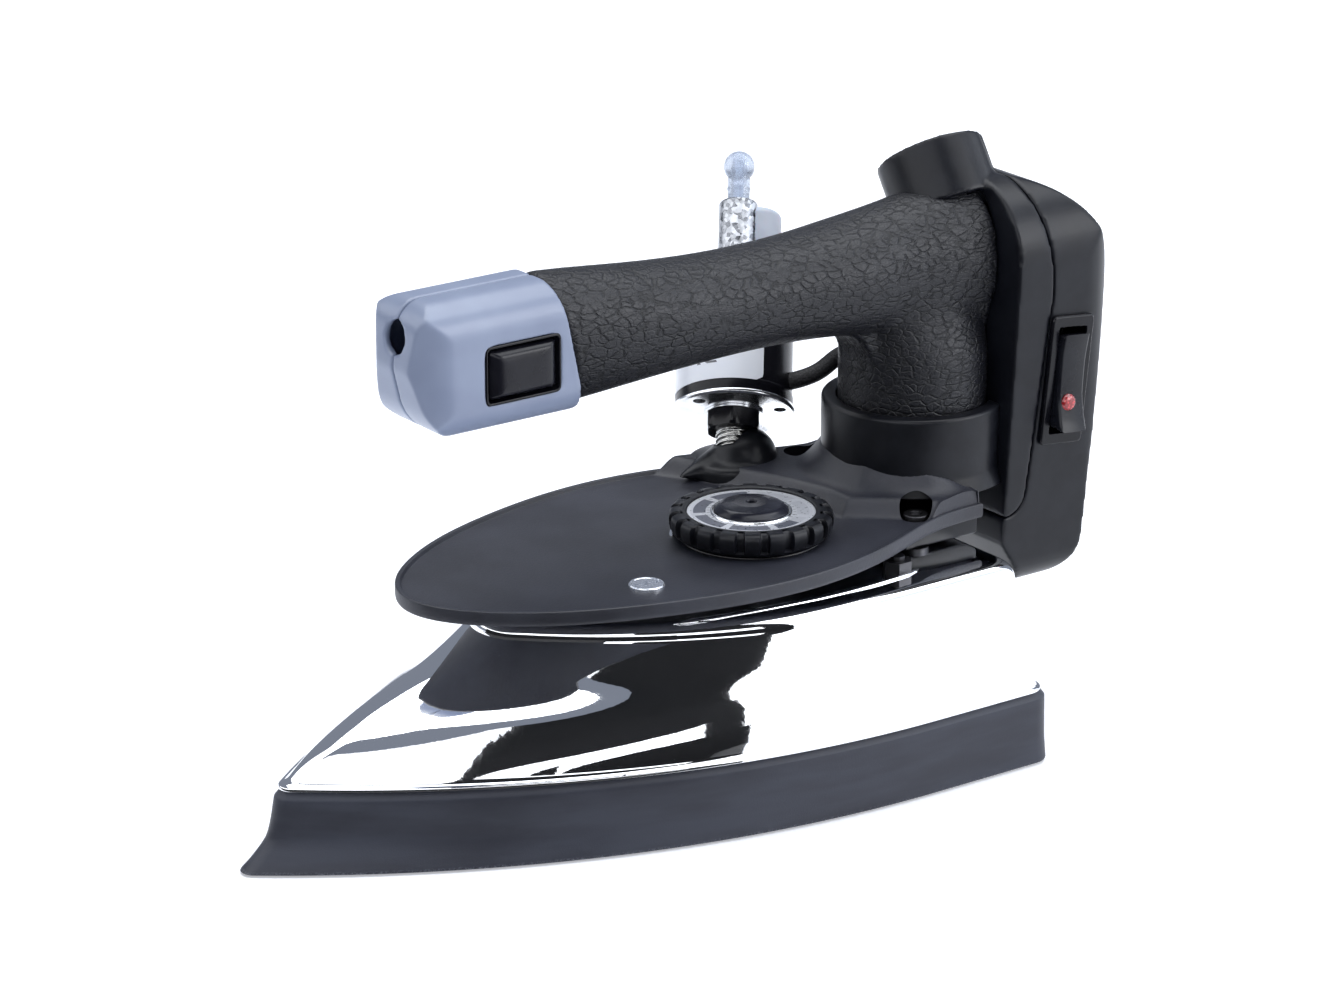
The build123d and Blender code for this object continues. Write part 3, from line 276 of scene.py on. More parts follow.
def leather_finish():
    """Leather grain: creases at two sizes, drawn out along the grip, with painted shade in the creases."""
    f = Finish("leather_grain", (0.010, 0.011, 0.015), 0.5, Specular_IOR_Level=0.36)
    bent = f.noise(per_mm(5.0), 2.0)
    push = f.node("ShaderNodeVectorMath", {"operation": "SCALE"},
                  {"Vector": f.colours(f.noise(per_mm(4.0), 2.0)), "Scale": 1.6 * MM})
    skin = f.vector("ADD", f.place(), push)
    skin = f.stretched((0.60, 1.0, 1.20), skin)
    crease = f.cells(per_mm(2.3), "DISTANCE_TO_EDGE", skin)
    small = f.cells(per_mm(1.1), "DISTANCE_TO_EDGE", skin)
    patches = f.between(f.noise(per_mm(3.2), 2.0), 0.34, 0.56)
    folds = 1.0 - (1.0 - f.between(crease, 0.0, 0.15)) * (0.25 + patches * 0.75)
    folds = folds * 0.8 + f.between(small, 0.0, 0.2) * 0.2
    pores = f.noise(per_mm(0.3), 2.0)
    # painted shade: the creases are painted darker than the flat tops between them
    f.paint(f.blend(folds, (0.0025, 0.003, 0.0045), (0.0075, 0.008, 0.012)))
    f.gloss(0.56 - folds * 0.20 + bent * 0.06)
    f.relief(folds + pores * 0.04, 0.24)
    return f


def cap_finish():
    """Pale semi-gloss moulding."""
    f = Finish("pale_cap", (0.24, 0.28, 0.39), 0.34, Coat_Weight=0.15, Coat_Roughness=0.2)
    cloud = f.noise(per_mm(15.0), 2.0)
    sand = f.noise(per_mm(0.4), 2.0)
    f.mottle(cloud, (0.225, 0.265, 0.375), (0.26, 0.305, 0.42))
    f.gloss(sand * 0.10 + 0.30)
    f.relief(sand, 0.012)
    return f


def zinc_finish():
    """Galvanised steel with its crystal spangles."""
    f = Finish("spangled_zinc", (0.55, 0.57, 0.60), 0.3, Metallic=1.0)
    shade = f.axes(f.colours(f.cells(per_mm(1.1))))[0]
    grit = f.noise(per_mm(0.35), 3.0)
    f.paint(f.blend(shade * 0.75 + grit * 0.3, (0.05, 0.055, 0.065), (0.62, 0.64, 0.68)))
    f.gloss(shade * 0.25 + 0.18)
    f.relief(shade + grit * 0.5, 0.06)
    return f


def barb_finish():
    """Clear moulding with faint flow lines."""
    f = Finish("clear_barb", (0.66, 0.72, 0.82), 0.1, Transmission_Weight=0.72, IOR=1.45)
    swirl = f.noise(per_mm(2.2), 2.0)
    f.gloss(swirl * 0.12 + 0.14)
    f.relief(swirl, 0.03)
    return f


def lens_finish():
    """Red lens with small prisms, with a painted highlight in each prism's middle and painted shade at its edges.
    """
    f = Finish("red_lens", (0.45, 0.006, 0.012), 0.12, Coat_Weight=0.6, Coat_Roughness=0.05)
    prism = f.cells(per_mm(0.8), "F1")
    # painted highlight in the middle of each prism, painted shade towards its edges
    f.paint(f.blend(f.between(prism, 0.1, 0.6), (0.75, 0.03, 0.04), (0.28, 0.004, 0.008)))
    f.relief(prism, 0.10)
    return f


def sleeve_finish():
    """Woven black sleeve, with painted shade between the strands and a painted highlight on their middles."""
    f = Finish("woven_sleeve", (0.010, 0.010, 0.012), 0.6)
    weave = f.cells(per_mm(0.6), "F1")
    # painted highlight on the middle of each strand, painted shade in the gaps between strands
    f.paint(f.blend(f.between(weave, 0.1, 0.6), (0.024, 0.024, 0.028), (0.006, 0.006, 0.008)))
    f.relief(weave, 0.12)
    return f


# moulded finishes: material, colour, lighter colour, roughness, grain and its depth in mm
MOULDED = {
    "black_shell": ("satin_shell", (0.0045, 0.005, 0.008), (0.008, 0.009, 0.013), 0.33, 0.3, 0.008),
    "collar_black": ("satin_collar", (0.005, 0.0055, 0.0085), (0.009, 0.010, 0.014), 0.36, 0.4, 0.012),
    "smoke_plastic": ("button_black", (0.006, 0.006, 0.010), (0.010, 0.010, 0.015), 0.24, 0.4, 0.006),
    "knob_black": ("knob_black", (0.005, 0.0055, 0.008), (0.011, 0.012, 0.017), 0.36, 0.35, 0.014),
    "coil_black": ("coil_black", (0.003, 0.003, 0.005), (0.006, 0.006, 0.009), 0.24, 0.5, 0.004),
    "rocker_grey": ("rocker_black", (0.006, 0.006, 0.009), (0.010, 0.011, 0.015), 0.2, 0.5, 0.003),
    "white_ceramic": ("white_ceramic", (0.74, 0.73, 0.70), (0.80, 0.79, 0.76), 0.4, 0.5, 0.01),
    "knob_dome": ("knob_dome", (0.016, 0.017, 0.026), (0.028, 0.029, 0.042), 0.22, 0.5, 0.004),
}
# metal finishes: material, colour, roughness, stretch and depth in mm of the streaks
METALS = {
    "steel": ("plain_steel", (0.55, 0.56, 0.58), 0.3),
    "bright_metal": ("bright_turned", (0.82, 0.83, 0.85), 0.16, (1, 1, 6), 0.003),
    "brass_thread": ("plated_thread", (0.72, 0.72, 0.70), 0.2),
    "blackened_steel": ("blackened_steel", (0.06, 0.06, 0.065), 0.38),
    "copper_wire": ("copper_wire", (0.72, 0.34, 0.18), 0.35),
}


def make_finishes():
    made = {slot: moulded(*values) for slot, values in MOULDED.items()}
    made.update({slot: metal(*values) for slot, values in METALS.items()})
    made["nylon_pale"] = moulded("milky_nylon", (0.50, 0.54, 0.62), (0.58, 0.62, 0.70), 0.36, 0.5, 0.01,
                                 Subsurface_Weight=0.2, Subsurface_Scale=0.002)
    made["label_white"] = made["nylon_pale"]
    made["badge_blue"] = made["bright_metal"]
    made["dial_print"] = printed_dial(middle("dial_ring"))

    made["coated_sole"] = sole_finish()
    made["chrome"] = chrome_finish()
    made["black_panel"] = panel_finish()
    made["leather_grip"] = leather_finish()
    made["cap_grey"] = cap_finish()
    made["spangled_zinc"] = zinc_finish()
    made["clear_plastic"] = barb_finish()
    made["red_lens"] = lens_finish()
    made["sleeve_black"] = sleeve_finish()
    return made


def printed_dial(centre):
    """Bright foil ring with bars of printed shade that grow round the dial."""
    f = Finish("printed_dial", (0.72, 0.73, 0.76), 0.3, Metallic=0.35)
    x, y = f.axes()[:2]
    dx, dy = x - centre[0] * MM, y - centre[1] * MM
    radius = f.vector("LENGTH", f.node("ShaderNodeCombineXYZ", {}, [dx, dy, 0.0]), out="Value") * 1000.0
    turn = f.node("ShaderNodeMath", {"operation": "ARCTAN2"}, [dy, dx]) / (2 * pi) + 0.5
    track = f.between(radius, 12.0, 12.15) * (1.0 - f.between(radius, 15.3, 15.45))
    part = (turn * 7.0) % 1.0
    bar = (part > 0.08) * (part < 0.92)
    lit = (turn > 0.16) * (turn < 0.80)
    tick = ((turn * 36.0) % 1.0 < 0.14) * f.between(radius, 11.0, 11.1) * (1.0 - f.between(radius, 11.8, 11.9))
    rim = f.between(radius, 16.1, 16.25)
    ink = track * bar * lit
    shade = f.blend(ink, (0.78, 0.79, 0.83), (0.16, 0.17, 0.21))
    shade = f.blend(track * bar * (1.0 - lit) * 0.25, shade, (0.35, 0.36, 0.40))
    shade = f.blend(tick * 0.8, shade, (0.05, 0.05, 0.06))
    f.paint(f.blend(rim * 0.6, shade, (0.93, 0.94, 0.97)))
    f.gloss(f.noise(per_mm(1.2), 2.0) * 0.15 + 0.22)
    return f


def printed_label(origin, axis, side, low, high):
    """White film with thin grey bars in place of print."""
    f = Finish("white_label", (0.86, 0.88, 0.92), 0.34, Coat_Weight=0.3, Coat_Roughness=0.15)
    local = f.vector("SUBTRACT", f.place(), tuple(c * MM for c in origin))
    height, across = (f.vector("DOT_PRODUCT", local, tuple(way), out="Value") * 1000.0 for way in (axis, side))
    line = ((height - low) / 3.6) % 1.0
    row = (line > 0.30) * (line < 0.48)
    ragged = f.noise(per_mm(2.4), 0.0, 0.5) > 0.46
    inside = (height > low + 4.0) * (height < high - 3.0) * (across > -11.5) * (across < -4.0)
    film = f.blend(f.noise(per_mm(8.0), 2.0), (0.80, 0.83, 0.90), (0.90, 0.91, 0.94))
    f.paint(f.blend(row * ragged * inside, film, (0.10, 0.10, 0.12)))
    f.gloss(f.noise(per_mm(3.0), 2.0) * 0.1 + 0.28)
    return f


def badge_face(centre):
    """Bright disc with a plain pressed wave across it."""
    f = Finish("badge_face", (0.74, 0.78, 0.85), 0.22, Metallic=0.85)
    x, y = f.axes()[:2]
    wave = f.node("ShaderNodeMath", {"operation": "SINE"}, [(x - centre[0] * MM) * 1900.0])
    off = abs((y - centre[1] * MM) * 1000.0 - wave * 0.9)
    stroke = 1.0 - f.between(off, 0.35, 0.6)
    f.paint(f.blend(stroke * 0.5, (0.78, 0.81, 0.87), (0.42, 0.47, 0.58)))
    f.gloss(f.noise(per_mm(0.5), 2.0, 0.6, f.stretched((1.0, 9.0, 1.0))) * 0.2 + 0.14)
    f.relief(stroke, 0.08)
    return f


# ---------------------------------------------------------------- making pieces
def body_of(node):
    """Name of the moving or fixed body that a CAD node belongs to."""
    for body, nodes in record["behaviour"]["bodies"].items():
        if node in nodes:
            return body
    raise KeyError(node)


def settle(obj, finish, nodes, body=None, sharp=35):
    """Gives a piece its finish and its body, and hides the CAD nodes it stands for."""
    nodes = [nodes] if isinstance(nodes, str) else list(nodes)
    mesh = obj.data
    mesh.materials.clear()
    mesh.materials.append(finish.material)
    mesh.shade_smooth()
    mesh.set_sharp_from_angle(angle=radians(sharp))
    if nodes:
        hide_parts(*nodes)
    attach(obj, body or body_of(nodes[0]))
    return obj


def linked(name, data):
    """Puts new data into the scene as an object."""
    obj = bpy.data.objects.new(name, data)
    bpy.context.scene.collection.objects.link(obj)
    return obj


def mended(mesh, gap=0.0, outward=True):
    """Merges points closer than gap, in metres, and turns the faces outwards."""
    bm = bmesh.new()
    bm.from_mesh(mesh)
    if gap:
        bmesh.ops.remove_doubles(bm, verts=bm.verts, dist=gap)
    if outward:
        bmesh.ops.recalc_face_normals(bm, faces=bm.faces)
    bm.to_mesh(mesh)
    bm.free()


def solid(name, points, faces):
    """New object from points in millimetres."""
    mesh = bpy.data.meshes.new(name)
    mesh.from_pydata([tuple(np.asarray(p, float) * MM) for p in points], [], faces)
    mended(mesh)
    mesh.update()
    return linked(name, mesh)


def skinned(name, rings, close=(True, True), closed_ring=True):
    """Closed form from rings of points; the first and last ring are capped."""
    rings = [np.asarray(r, float) for r in rings]
    count = len(rings[0])
    points = np.concatenate(rings)
    last = count if closed_ring else count - 1
    faces = []
    for level in range(len(rings) - 1):
        a, b = level * count, (level + 1) * count
        faces += [(a + k, a + (k + 1) % count, b + (k + 1) % count, b + k) for k in range(last)]
    if close[0]:
        faces.append(tuple(range(count - 1, -1, -1)))
    if close[1]:
        top = (len(rings) - 1) * count
        faces.append(tuple(range(top, top + count)))
    return solid(name, points, faces)


def baked(obj):
    """Applies an object's modifiers to its mesh."""
    bpy.context.view_layer.update()
    shape = bpy.data.meshes.new_from_object(obj.evaluated_get(bpy.context.evaluated_depsgraph_get()))
    old = obj.data
    obj.modifiers.clear()
    obj.data = shape
    bpy.data.meshes.remove(old)
    return obj


def joined(name, objects):
    """One object from several, meshes kept as they are."""
    bm = bmesh.new()
    for obj in objects:
        bm.from_mesh(obj.data)
        bpy.data.objects.remove(obj)
    mesh = bpy.data.meshes.new(name)
    bm.to_mesh(mesh)
    bm.free()
    return linked(name, mesh)


def kneaded(obj, voxel_mm, passes, strength=0.5):
    """Melts an object's solids into one skin with soft edges."""
    remesh = obj.modifiers.new("melt", "REMESH")
    remesh.mode = "VOXEL"
    remesh.voxel_size = voxel_mm * MM
    smooth = obj.modifiers.new("ease", "SMOOTH")
    smooth.iterations = passes
    smooth.factor = strength
    return baked(obj)


def copy_of(name, nodes):
    """Joined copy of CAD nodes."""
    return joined(name, [linked(node + "_copy", frame["nodes"][node].data.copy()) for node in nodes])


def cut(obj, cutter):
    """Cuts one object with another and removes the cutter."""
    step = obj.modifiers.new("cut", "BOOLEAN")
    step.operation = "DIFFERENCE"
    step.solver = "EXACT"
    step.object = cutter
    baked(obj)
    bpy.data.objects.remove(cutter)
    return obj


def flow(xs, ys, at):
    """Smooth curve through stations, without overshoot between equal ones."""
    xs, ys, at = np.asarray(xs, float), np.asarray(ys, float), np.asarray(at, float)
    step = np.diff(xs)
    rate = np.diff(ys) / step
    slope = np.zeros(len(xs))
    slope[0], slope[-1] = rate[0], rate[-1]
    for k in range(1, len(xs) - 1):
        if rate[k - 1] * rate[k] > 0:
            w1, w2 = 2 * step[k] + step[k - 1], step[k] + 2 * step[k - 1]
            slope[k] = (w1 + w2) / (w1 / rate[k - 1] + w2 / rate[k])
    k = np.clip(np.searchsorted(xs, at) - 1, 0, len(xs) - 2)
    t = (at - xs[k]) / step[k]
    return ((2 * t**3 - 3 * t**2 + 1) * ys[k] + (t**3 - 2 * t**2 + t) * step[k] * slope[k]
            + (-2 * t**3 + 3 * t**2) * ys[k + 1] + (t**3 - t**2) * step[k] * slope[k + 1])


def eased(corners, radii, steps=5):
    """Open polyline with its corners rounded."""
    pts = [np.asarray(c, float) for c in corners]
    out = [pts[0]]
    for k in range(1, len(pts) - 1):
        radius = radii[k] if k < len(radii) else 0
        a, b = pts[k - 1] - pts[k], pts[k + 1] - pts[k]
        la, lb = np.linalg.norm(a), np.linalg.norm(b)
        if radius <= 0 or la == 0 or lb == 0:
            out.append(pts[k])
            continue
        a, b = a / la, b / lb
        half = acos(np.clip(a @ b, -1, 1)) / 2
        back = min(radius / tan(half), la * 0.49, lb * 0.49)
        for s in range(steps + 1):
            t = s / steps
            out.append(pts[k] + a * back * (1 - t) ** 2 + b * back * t**2)
    out.append(pts[-1])
    return np.array(out)


class Spindle:
    """A turning axis: places points given as radius, turn and height."""

    def __init__(self, origin, axis, side=None):
        self.origin = np.array(origin, float)
        self.axis = np.array(axis, float) / np.linalg.norm(axis)
        seed = np.array(side if side is not None else np.cross((0, 0, 1), self.axis), float)
        if np.linalg.norm(seed) < 1e-6:
            seed = np.array((1.0, 0, 0))
        seed = seed - self.axis * (seed @ self.axis)
        self.side = seed / np.linalg.norm(seed)
        self.other = np.cross(self.axis, self.side)

    def at(self, radius, turn, height):
        radius, turn, height = np.broadcast_arrays(radius, turn, height)
        return (self.origin + radius[..., None] * (np.cos(turn)[..., None] * self.side
                + np.sin(turn)[..., None] * self.other) + height[..., None] * self.axis)

    def turned(self, name, profile, count=96, loop=False):
        """Turned form from a profile of (radius, height); loop closes a ring section."""
        turns = np.arange(count) * 2 * pi / count
        profile = [tuple(p) for p in profile]
        rings = [self.at(r, turns, h) for r, h in profile]
        if not loop:
            return skinned(name, rings)
        obj = skinned(name, rings + rings[:1], (False, False))
        mended(obj.data, 1e-7)
        return obj


def upright(x, y, z=0.0, side=None):
    """Spindle that stands on end."""
    return Spindle((x, y, z), (0, 0, 1), side)


# ---------------------------------------------------------------- sole and cover
WIDEST_X = -68.0
HEEL_X = span("soleplate")[0][0]
STEAM_ROWS, FIRST_ROW_X, ROW_PITCH, ROW_SPREAD = 7, -80.0, 15.0, 21.6
STEAM_HOLE = ((2.6, -1), (2.6, 0), (2.0, 0.6), (2.0, 9))


def iron_outline(nose_x, half_width, nose_r, heel_x, heel_r):
    """Plan outline of an iron, the same number of points at every size."""
    reach = nose_x - nose_r - WIDEST_X
    flank_r = (reach**2 + half_width**2 - nose_r**2) / (2 * (half_width - nose_r))
    centre_y = half_width - flank_r
    swing = atan2(reach, -centre_y)
    nose = [(nose_x - nose_r + nose_r * cos(a), nose_r * sin(a)) for a in np.linspace(0, pi / 2 - swing, 9)]
    flank = [(WIDEST_X + flank_r * sin(a), centre_y + flank_r * cos(a)) for a in np.linspace(swing, 0, 91)[1:]]
    side = [(x, half_width) for x in np.linspace(WIDEST_X, heel_x + heel_r, 14)[1:]]
    corner = [(heel_x + heel_r - heel_r * sin(a), half_width - heel_r + heel_r * cos(a))
              for a in np.linspace(0, pi / 2, 9)[1:]]
    heel = [(heel_x, y) for y in np.linspace(half_width - heel_r, 0, 14)[1:]]
    left = nose + flank + side + corner + heel
    right = [(x, -y) for x, y in reversed(left[1:-1])]
    return np.array(left + right)


def level_ring(outline, z):
    """Outline set at a height."""
    return np.column_stack([outline, np.full(len(outline), float(z))])


def make_sole(finish):
    """Cast sole: the toe rakes back in a hollow curve, and the steam holes are bored in."""
    nose, half, thick = span("soleplate")[1]
    rake, chamfer, edge = 11.0, 1.8, 0.5
    shares, backs = (0.0, 0.13, 0.45, 1.0), (0.0, 0.30, 0.78, 1.0)
    top = thick - chamfer
    levels = [(0.0, edge), (0.12, edge * 0.35), (edge, 0.0)]
    levels += [(z, 0.0) for z in np.linspace(1.2, top - 0.5, 18)]
    levels += [(top - 0.15, 0.06), (top + 0.15, 0.30), (thick - 0.3, chamfer - 0.35),
               (thick - 0.08, chamfer - 0.1), (thick, chamfer + 0.3)]
    rings = []
    for z, inset in levels:
        back = float(flow(shares, backs, min(z / top, 1.0)))
        outline = iron_outline(nose - rake * back - inset, half - 0.6 * back - inset, 4.0 - min(inset, 2.4),
                               HEEL_X + 0.5 * back + inset, 6.0 - inset)
        rings.append(level_ring(outline, z))
    sole = skinned("sole_casting", rings)
    drills = []
    for row in range(STEAM_ROWS):
        x = FIRST_ROW_X + ROW_PITCH * (row + 0.6)
        spread = ROW_SPREAD * (1 - (row / (STEAM_ROWS + 0.5)) ** 2)
        for side in (-1, 1):
            drills.append(upright(x, side * spread).turned("drill", STEAM_HOLE, 20))
    cut(sole, joined("drills", drills))
    return settle(sole, finish["coated_sole"], "soleplate", sharp=28)


# share of the height, nose set back, side pulled in, nose radius, heel tucked in
COVER_STATIONS = ((0.00, 0.0, 0.0, 3.6, 0.6), (0.22, 8.2, 0.7, 4.6, 0.7), (0.45, 21.4, 2.4, 7.0, 0.7),
                  (0.72, 43.6, 5.6, 11.0, 0.8), (1.00, 60.0, 9.4, 15.0, 0.8))


def cover_ring(share, inset, z):
    """Outline of the plated cover at a share of its height."""
    (nose, half, _), heel = span("chrome_cover")[1], span("chrome_cover")[0][0] - 0.6
    shares, *columns = zip(*COVER_STATIONS)
    back, pull, radius, tuck = (float(flow(shares, column, share)) for column in columns)
    outline = iron_outline(nose - back - inset, half - pull - inset, max(radius - inset * 0.3, 1.5),
                           heel + tuck + inset, 6.0)
    return level_ring(outline, z)


def make_cover(finish):
    """Plated cover: rolled foot, leaning flanks and a round shoulder."""
    foot, top = span("chrome_cover")[0][2], span("chrome_cover")[1][2]
    shoulder, lip = 4.0, 0.9
    rise = top - shoulder - foot
    rings = [cover_ring(share, inset, foot + up) for share, inset, up in (
        (0.0, 2.0, 0.02), (0.0, -lip, 0.02), (0.0, -lip, 0.55), (0.0, -lip * 0.75, 0.85), (0.02, -0.25, 1.0))]
    rings += [cover_ring(share, 0.0, foot + rise * share) for share in np.linspace(0.055, 1.0, 46)]
    rings += [cover_ring(1.0, shoulder * (1 - cos(a)), foot + rise + shoulder * sin(a))
              for a in np.linspace(0, pi / 2, 11)[1:]]
    rings += [cover_ring(1.0, inset, top) for inset in (4.6, 5.5, 7.0)]
    settle(skinned("plated_cover", rings), finish["chrome"], "chrome_cover", sharp=40)


BEAD_PATH = ((-3.0, 33.2), (-14.0, 36.2), (-27.0, 38.4), (-45.0, 40.6), (-62.0, 41.2), (-74.0, 40.4), (-80.0, 38.0))
BEAD_STEPS = 60


def make_cover_bead(finish):
    """Long stamped bead on the cover's top, along its left and right edge."""
    top = span("chrome_cover")[1][2]
    run, key = np.linspace(0, 1, BEAD_STEPS), np.linspace(0, 1, len(BEAD_PATH))
    last = BEAD_STEPS - 1
    beads = []
    for side in (-1, 1):
        path = np.array(BEAD_PATH) * (1, side)
        line = np.column_stack([np.interp(run, key, path[:, k]) for k in (0, 1)])
        for _ in range(4):
            line[1:-1] = (line[:-2] + 2 * line[1:-1] + line[2:]) / 4
        rings = []
        for k, (x, y) in enumerate(line):
            ahead = line[min(k + 1, last)] - line[max(k - 1, 0)]
            away = np.array((-ahead[1], ahead[0])) / np.linalg.norm(ahead)
            grow = min(1.0, sin(pi * min(max(k, 0.3), last - 0.3) / last) * 4)
            ring = [(x + away[0] * cos(a) * grow, y + away[1] * cos(a) * grow, top - 0.1 + 0.75 * sin(a) * grow)
                    for a in np.linspace(0, pi, 9)]
            rings.append(ring + [(x, y, top - 0.4)])
        beads.append(skinned("bead", rings))
    settle(joined("cover_beads", beads), finish["chrome"], [], "iron", sharp=60)


# ---------------------------------------------------------------- heat-shield base
SHIELD_FOOT = span("chrome_cover")[1][2] + 6.0
PLATE_TOP, RIM_TOP, DECK_TOP = SHIELD_FOOT + 3.0, SHIELD_FOOT + 4.0, SHIELD_FOOT + 7.5
LEG_X, COLLAR_R = HEEL_X + 0.4, 25.0
WELL_X, WELL_Y = HEEL_X + 19.5, 25.5


def smooth_line(points, start, end, count=220):
    """Spline through points with given end directions."""
    pts = np.array(points, float)
    step = np.linalg.norm(np.diff(pts, axis=0), axis=1)
    s = np.concatenate([[0], np.cumsum(step)])
    n = len(pts)
    lhs, rhs = np.zeros((n, n)), np.zeros((n, 2))
    lhs[0, 0] = lhs[-1, -1] = 1
    rhs[0] = np.array(start) / np.linalg.norm(start)
    rhs[-1] = np.array(end) / np.linalg.norm(end)
    for k in range(1, n - 1):
        h0, h1 = s[k] - s[k - 1], s[k + 1] - s[k]
        lhs[k, k - 1], lhs[k, k], lhs[k, k + 1] = 1 / h0, 2 / h0 + 2 / h1, 1 / h1
        rhs[k] = 3 * ((pts[k + 1] - pts[k]) / h1**2 + (pts[k] - pts[k - 1]) / h0**2)
    slope = np.linalg.solve(lhs, rhs)
    out = []
    for at in np.linspace(0, s[-1], count):
        k = min(int(np.searchsorted(s, at, side="right")) - 1, n - 2)
        h = s[k + 1] - s[k]
        t = (at - s[k]) / h
        out.append((2 * t**3 - 3 * t**2 + 1) * pts[k] + (t**3 - 2 * t**2 + t) * h * slope[k]
                   + (-2 * t**3 + 3 * t**2) * pts[k + 1] + (t**3 - t**2) * h * slope[k + 1])
    return np.array(out)


def plate_outline(tip, wide, back, end):
    """Egg-shaped outline of the heat shield with a straight heel."""
    reach = tip - end
    side = [(tip - share * reach, y) for share, y in (
        (0, 0), (0.11, wide * 0.55), (0.30, wide * 0.86), (0.57, wide), (0.78, wide * 0.83), (0.90, back + 1.6))]
    side.append((end, back))
    left = smooth_line(side, (0, 1), (-1, 0))
    heel = np.column_stack([np.full(40, end), np.linspace(back, 0, 42)[1:-1]])
    half = np.concatenate([left, heel])
    mirror = half[1:][::-1] * (1, -1)
    return np.concatenate([half, [(end, 0.0)], mirror])


def inset_line(line, depth):
    """Closed line moved inwards."""
    ahead = np.roll(line, -1, axis=0) - np.roll(line, 1, axis=0)
    normal = np.column_stack([-ahead[:, 1], ahead[:, 0]])
    normal /= np.linalg.norm(normal, axis=1)[:, None]
    return line + normal * depth


def far_from(points, line):
    """Distance of points to an open polyline."""
    best = np.full(len(points), 1e9)
    for a, b in zip(line[:-1], line[1:]):
        run = b - a
        t = np.clip(((points - a) @ run) / (run @ run), 0, 1)
        best = np.minimum(best, np.linalg.norm(points - (a + t[:, None] * run), axis=1))
    return best


def within(points, loop):
    """Which points lie inside a closed loop."""
    inside = np.zeros(len(points), bool)
    x, y = points[:, 0], points[:, 1]
    for (x1, y1), (x2, y2) in zip(loop, np.roll(loop, -1, axis=0)):
        if y1 == y2:
            continue
        hit = ((y1 > y) != (y2 > y)) & (x < (x2 - x1) * (y - y1) / (y2 - y1) + x1)
        inside ^= hit
    return inside


def arc_through(a, b, c, count=24):
    """Points of the circle arc from a through b to c."""
    a, b, c = (np.array(p, float) for p in (a, b, c))
    d = 2 * (a[0] * (b[1] - c[1]) + b[0] * (c[1] - a[1]) + c[0] * (a[1] - b[1]))
    sq = [p @ p for p in (a, b, c)]
    centre = np.array((sq[0] * (b[1] - c[1]) + sq[1] * (c[1] - a[1]) + sq[2] * (a[1] - b[1]),
                       sq[0] * (c[0] - b[0]) + sq[1] * (a[0] - c[0]) + sq[2] * (b[0] - a[0]))) / d
    angles = [atan2(*(p - centre)[::-1]) for p in (a, b, c)]
    radius = np.linalg.norm(a - centre)
    first, mid, last = angles
    sweep = (last - first) % (2 * pi)
    if (mid - first) % (2 * pi) > sweep:
        sweep -= 2 * pi
    return np.array([centre + radius * np.array((cos(first + sweep * t), sin(first + sweep * t)))
                     for t in np.linspace(0, 1, count)])


def deck_front():
    """Front edge of the raised deck, which bends round the knob."""
    wide = span("base_plate")[1][1]
    knob_x, knob_y, _ = middle("knob")
    bay = knob_x - halves("knob")[0] - 5.0
    return np.concatenate([
        arc_through((knob_x - 2, -wide - 4), (bay + 5, knob_y - 24), (bay, knob_y - 6)),
        arc_through((bay, knob_y + 4), (bay - 12, knob_y + 14), (bay - 30, wide)),
    ])


def plate_height(points, front):
    """Height of the base's upper side: the plate, the deck and the swell round the collar."""
    wide = span("base_plate")[1][1]
    loop = np.concatenate([front, [(HEEL_X - 40, wide), (HEEL_X - 40, -wide - 4)]])
    reach = far_from(points, front) * np.where(within(points, loop), 1.0, -1.0)
    t = np.clip((reach + 0.2) / 5.2, 0, 1)
    z = PLATE_TOP + (DECK_TOP - PLATE_TOP) * t * t * (3 - 2 * t)
    ring = np.linalg.norm(points - (LEG_X, 0.0), axis=1) - COLLAR_R
    flare = np.clip(1 - ring / 7.5, 0, 1)
    lift = 6.5 * flare**2 * np.clip((points[:, 0] - HEEL_X - 1.0) / 12.0, 0, 1)
    ease = np.clip((reach - 1.0) / 14.0, 0, 1)
    return z + lift * ease * ease * (3 - 2 * ease)


def make_plate(finish):
    """Heat-shield plate: a raised rim round a height field, and two wells for the rear screws."""
    tip, wide, _ = span("base_plate")[1]
    front = deck_front()
    line = plate_outline(tip, wide, COLLAR_R + 5.0, HEEL_X)
    rings = [level_ring(inset_line(line, inset), z) for inset, z in (
        (3.5, SHIELD_FOOT), (0.9, SHIELD_FOOT), (0.35, SHIELD_FOOT + 0.12), (0.1, SHIELD_FOOT + 0.5),
        (0.0, SHIELD_FOOT + 1.2), (0.0, RIM_TOP - 0.55), (0.08, RIM_TOP - 0.2), (0.35, RIM_TOP))]
    inner = inset_line(line, 2.1)
    over = plate_height(inner, front)
    for inset, drop in ((1.0, 0.0), (1.3, -0.12), (1.6, -0.62), (1.75, -0.92), (2.1, -1.0)):
        z = np.maximum(RIM_TOP + drop, np.where(inset > 1.2, over, RIM_TOP + drop))
        rings.append(np.column_stack([inset_line(line, inset), z]))
    spine = np.column_stack([np.clip(inner[:, 0], HEEL_X + 30, tip - 34), np.zeros(len(inner))])
    for share in np.linspace(0, 1, 74)[1:]:
        points = inner + (spine - inner) * share
        rings.append(np.column_stack([points, plate_height(points, front)]))
    plate = skinned("shield_plate", rings, (True, False))
    mended(plate.data, 2e-5, outward=False)
    for side in (-1, 1):
        well = upright(WELL_X, side * WELL_Y, PLATE_TOP - 0.6, (0.97, 0.24, 0))
        cut(plate, well.turned("well", [(4.0, 0), (4.4, 0.5), (4.4, 16)], 47))
    settle(plate, finish["black_panel"], "base_plate", sharp=32)


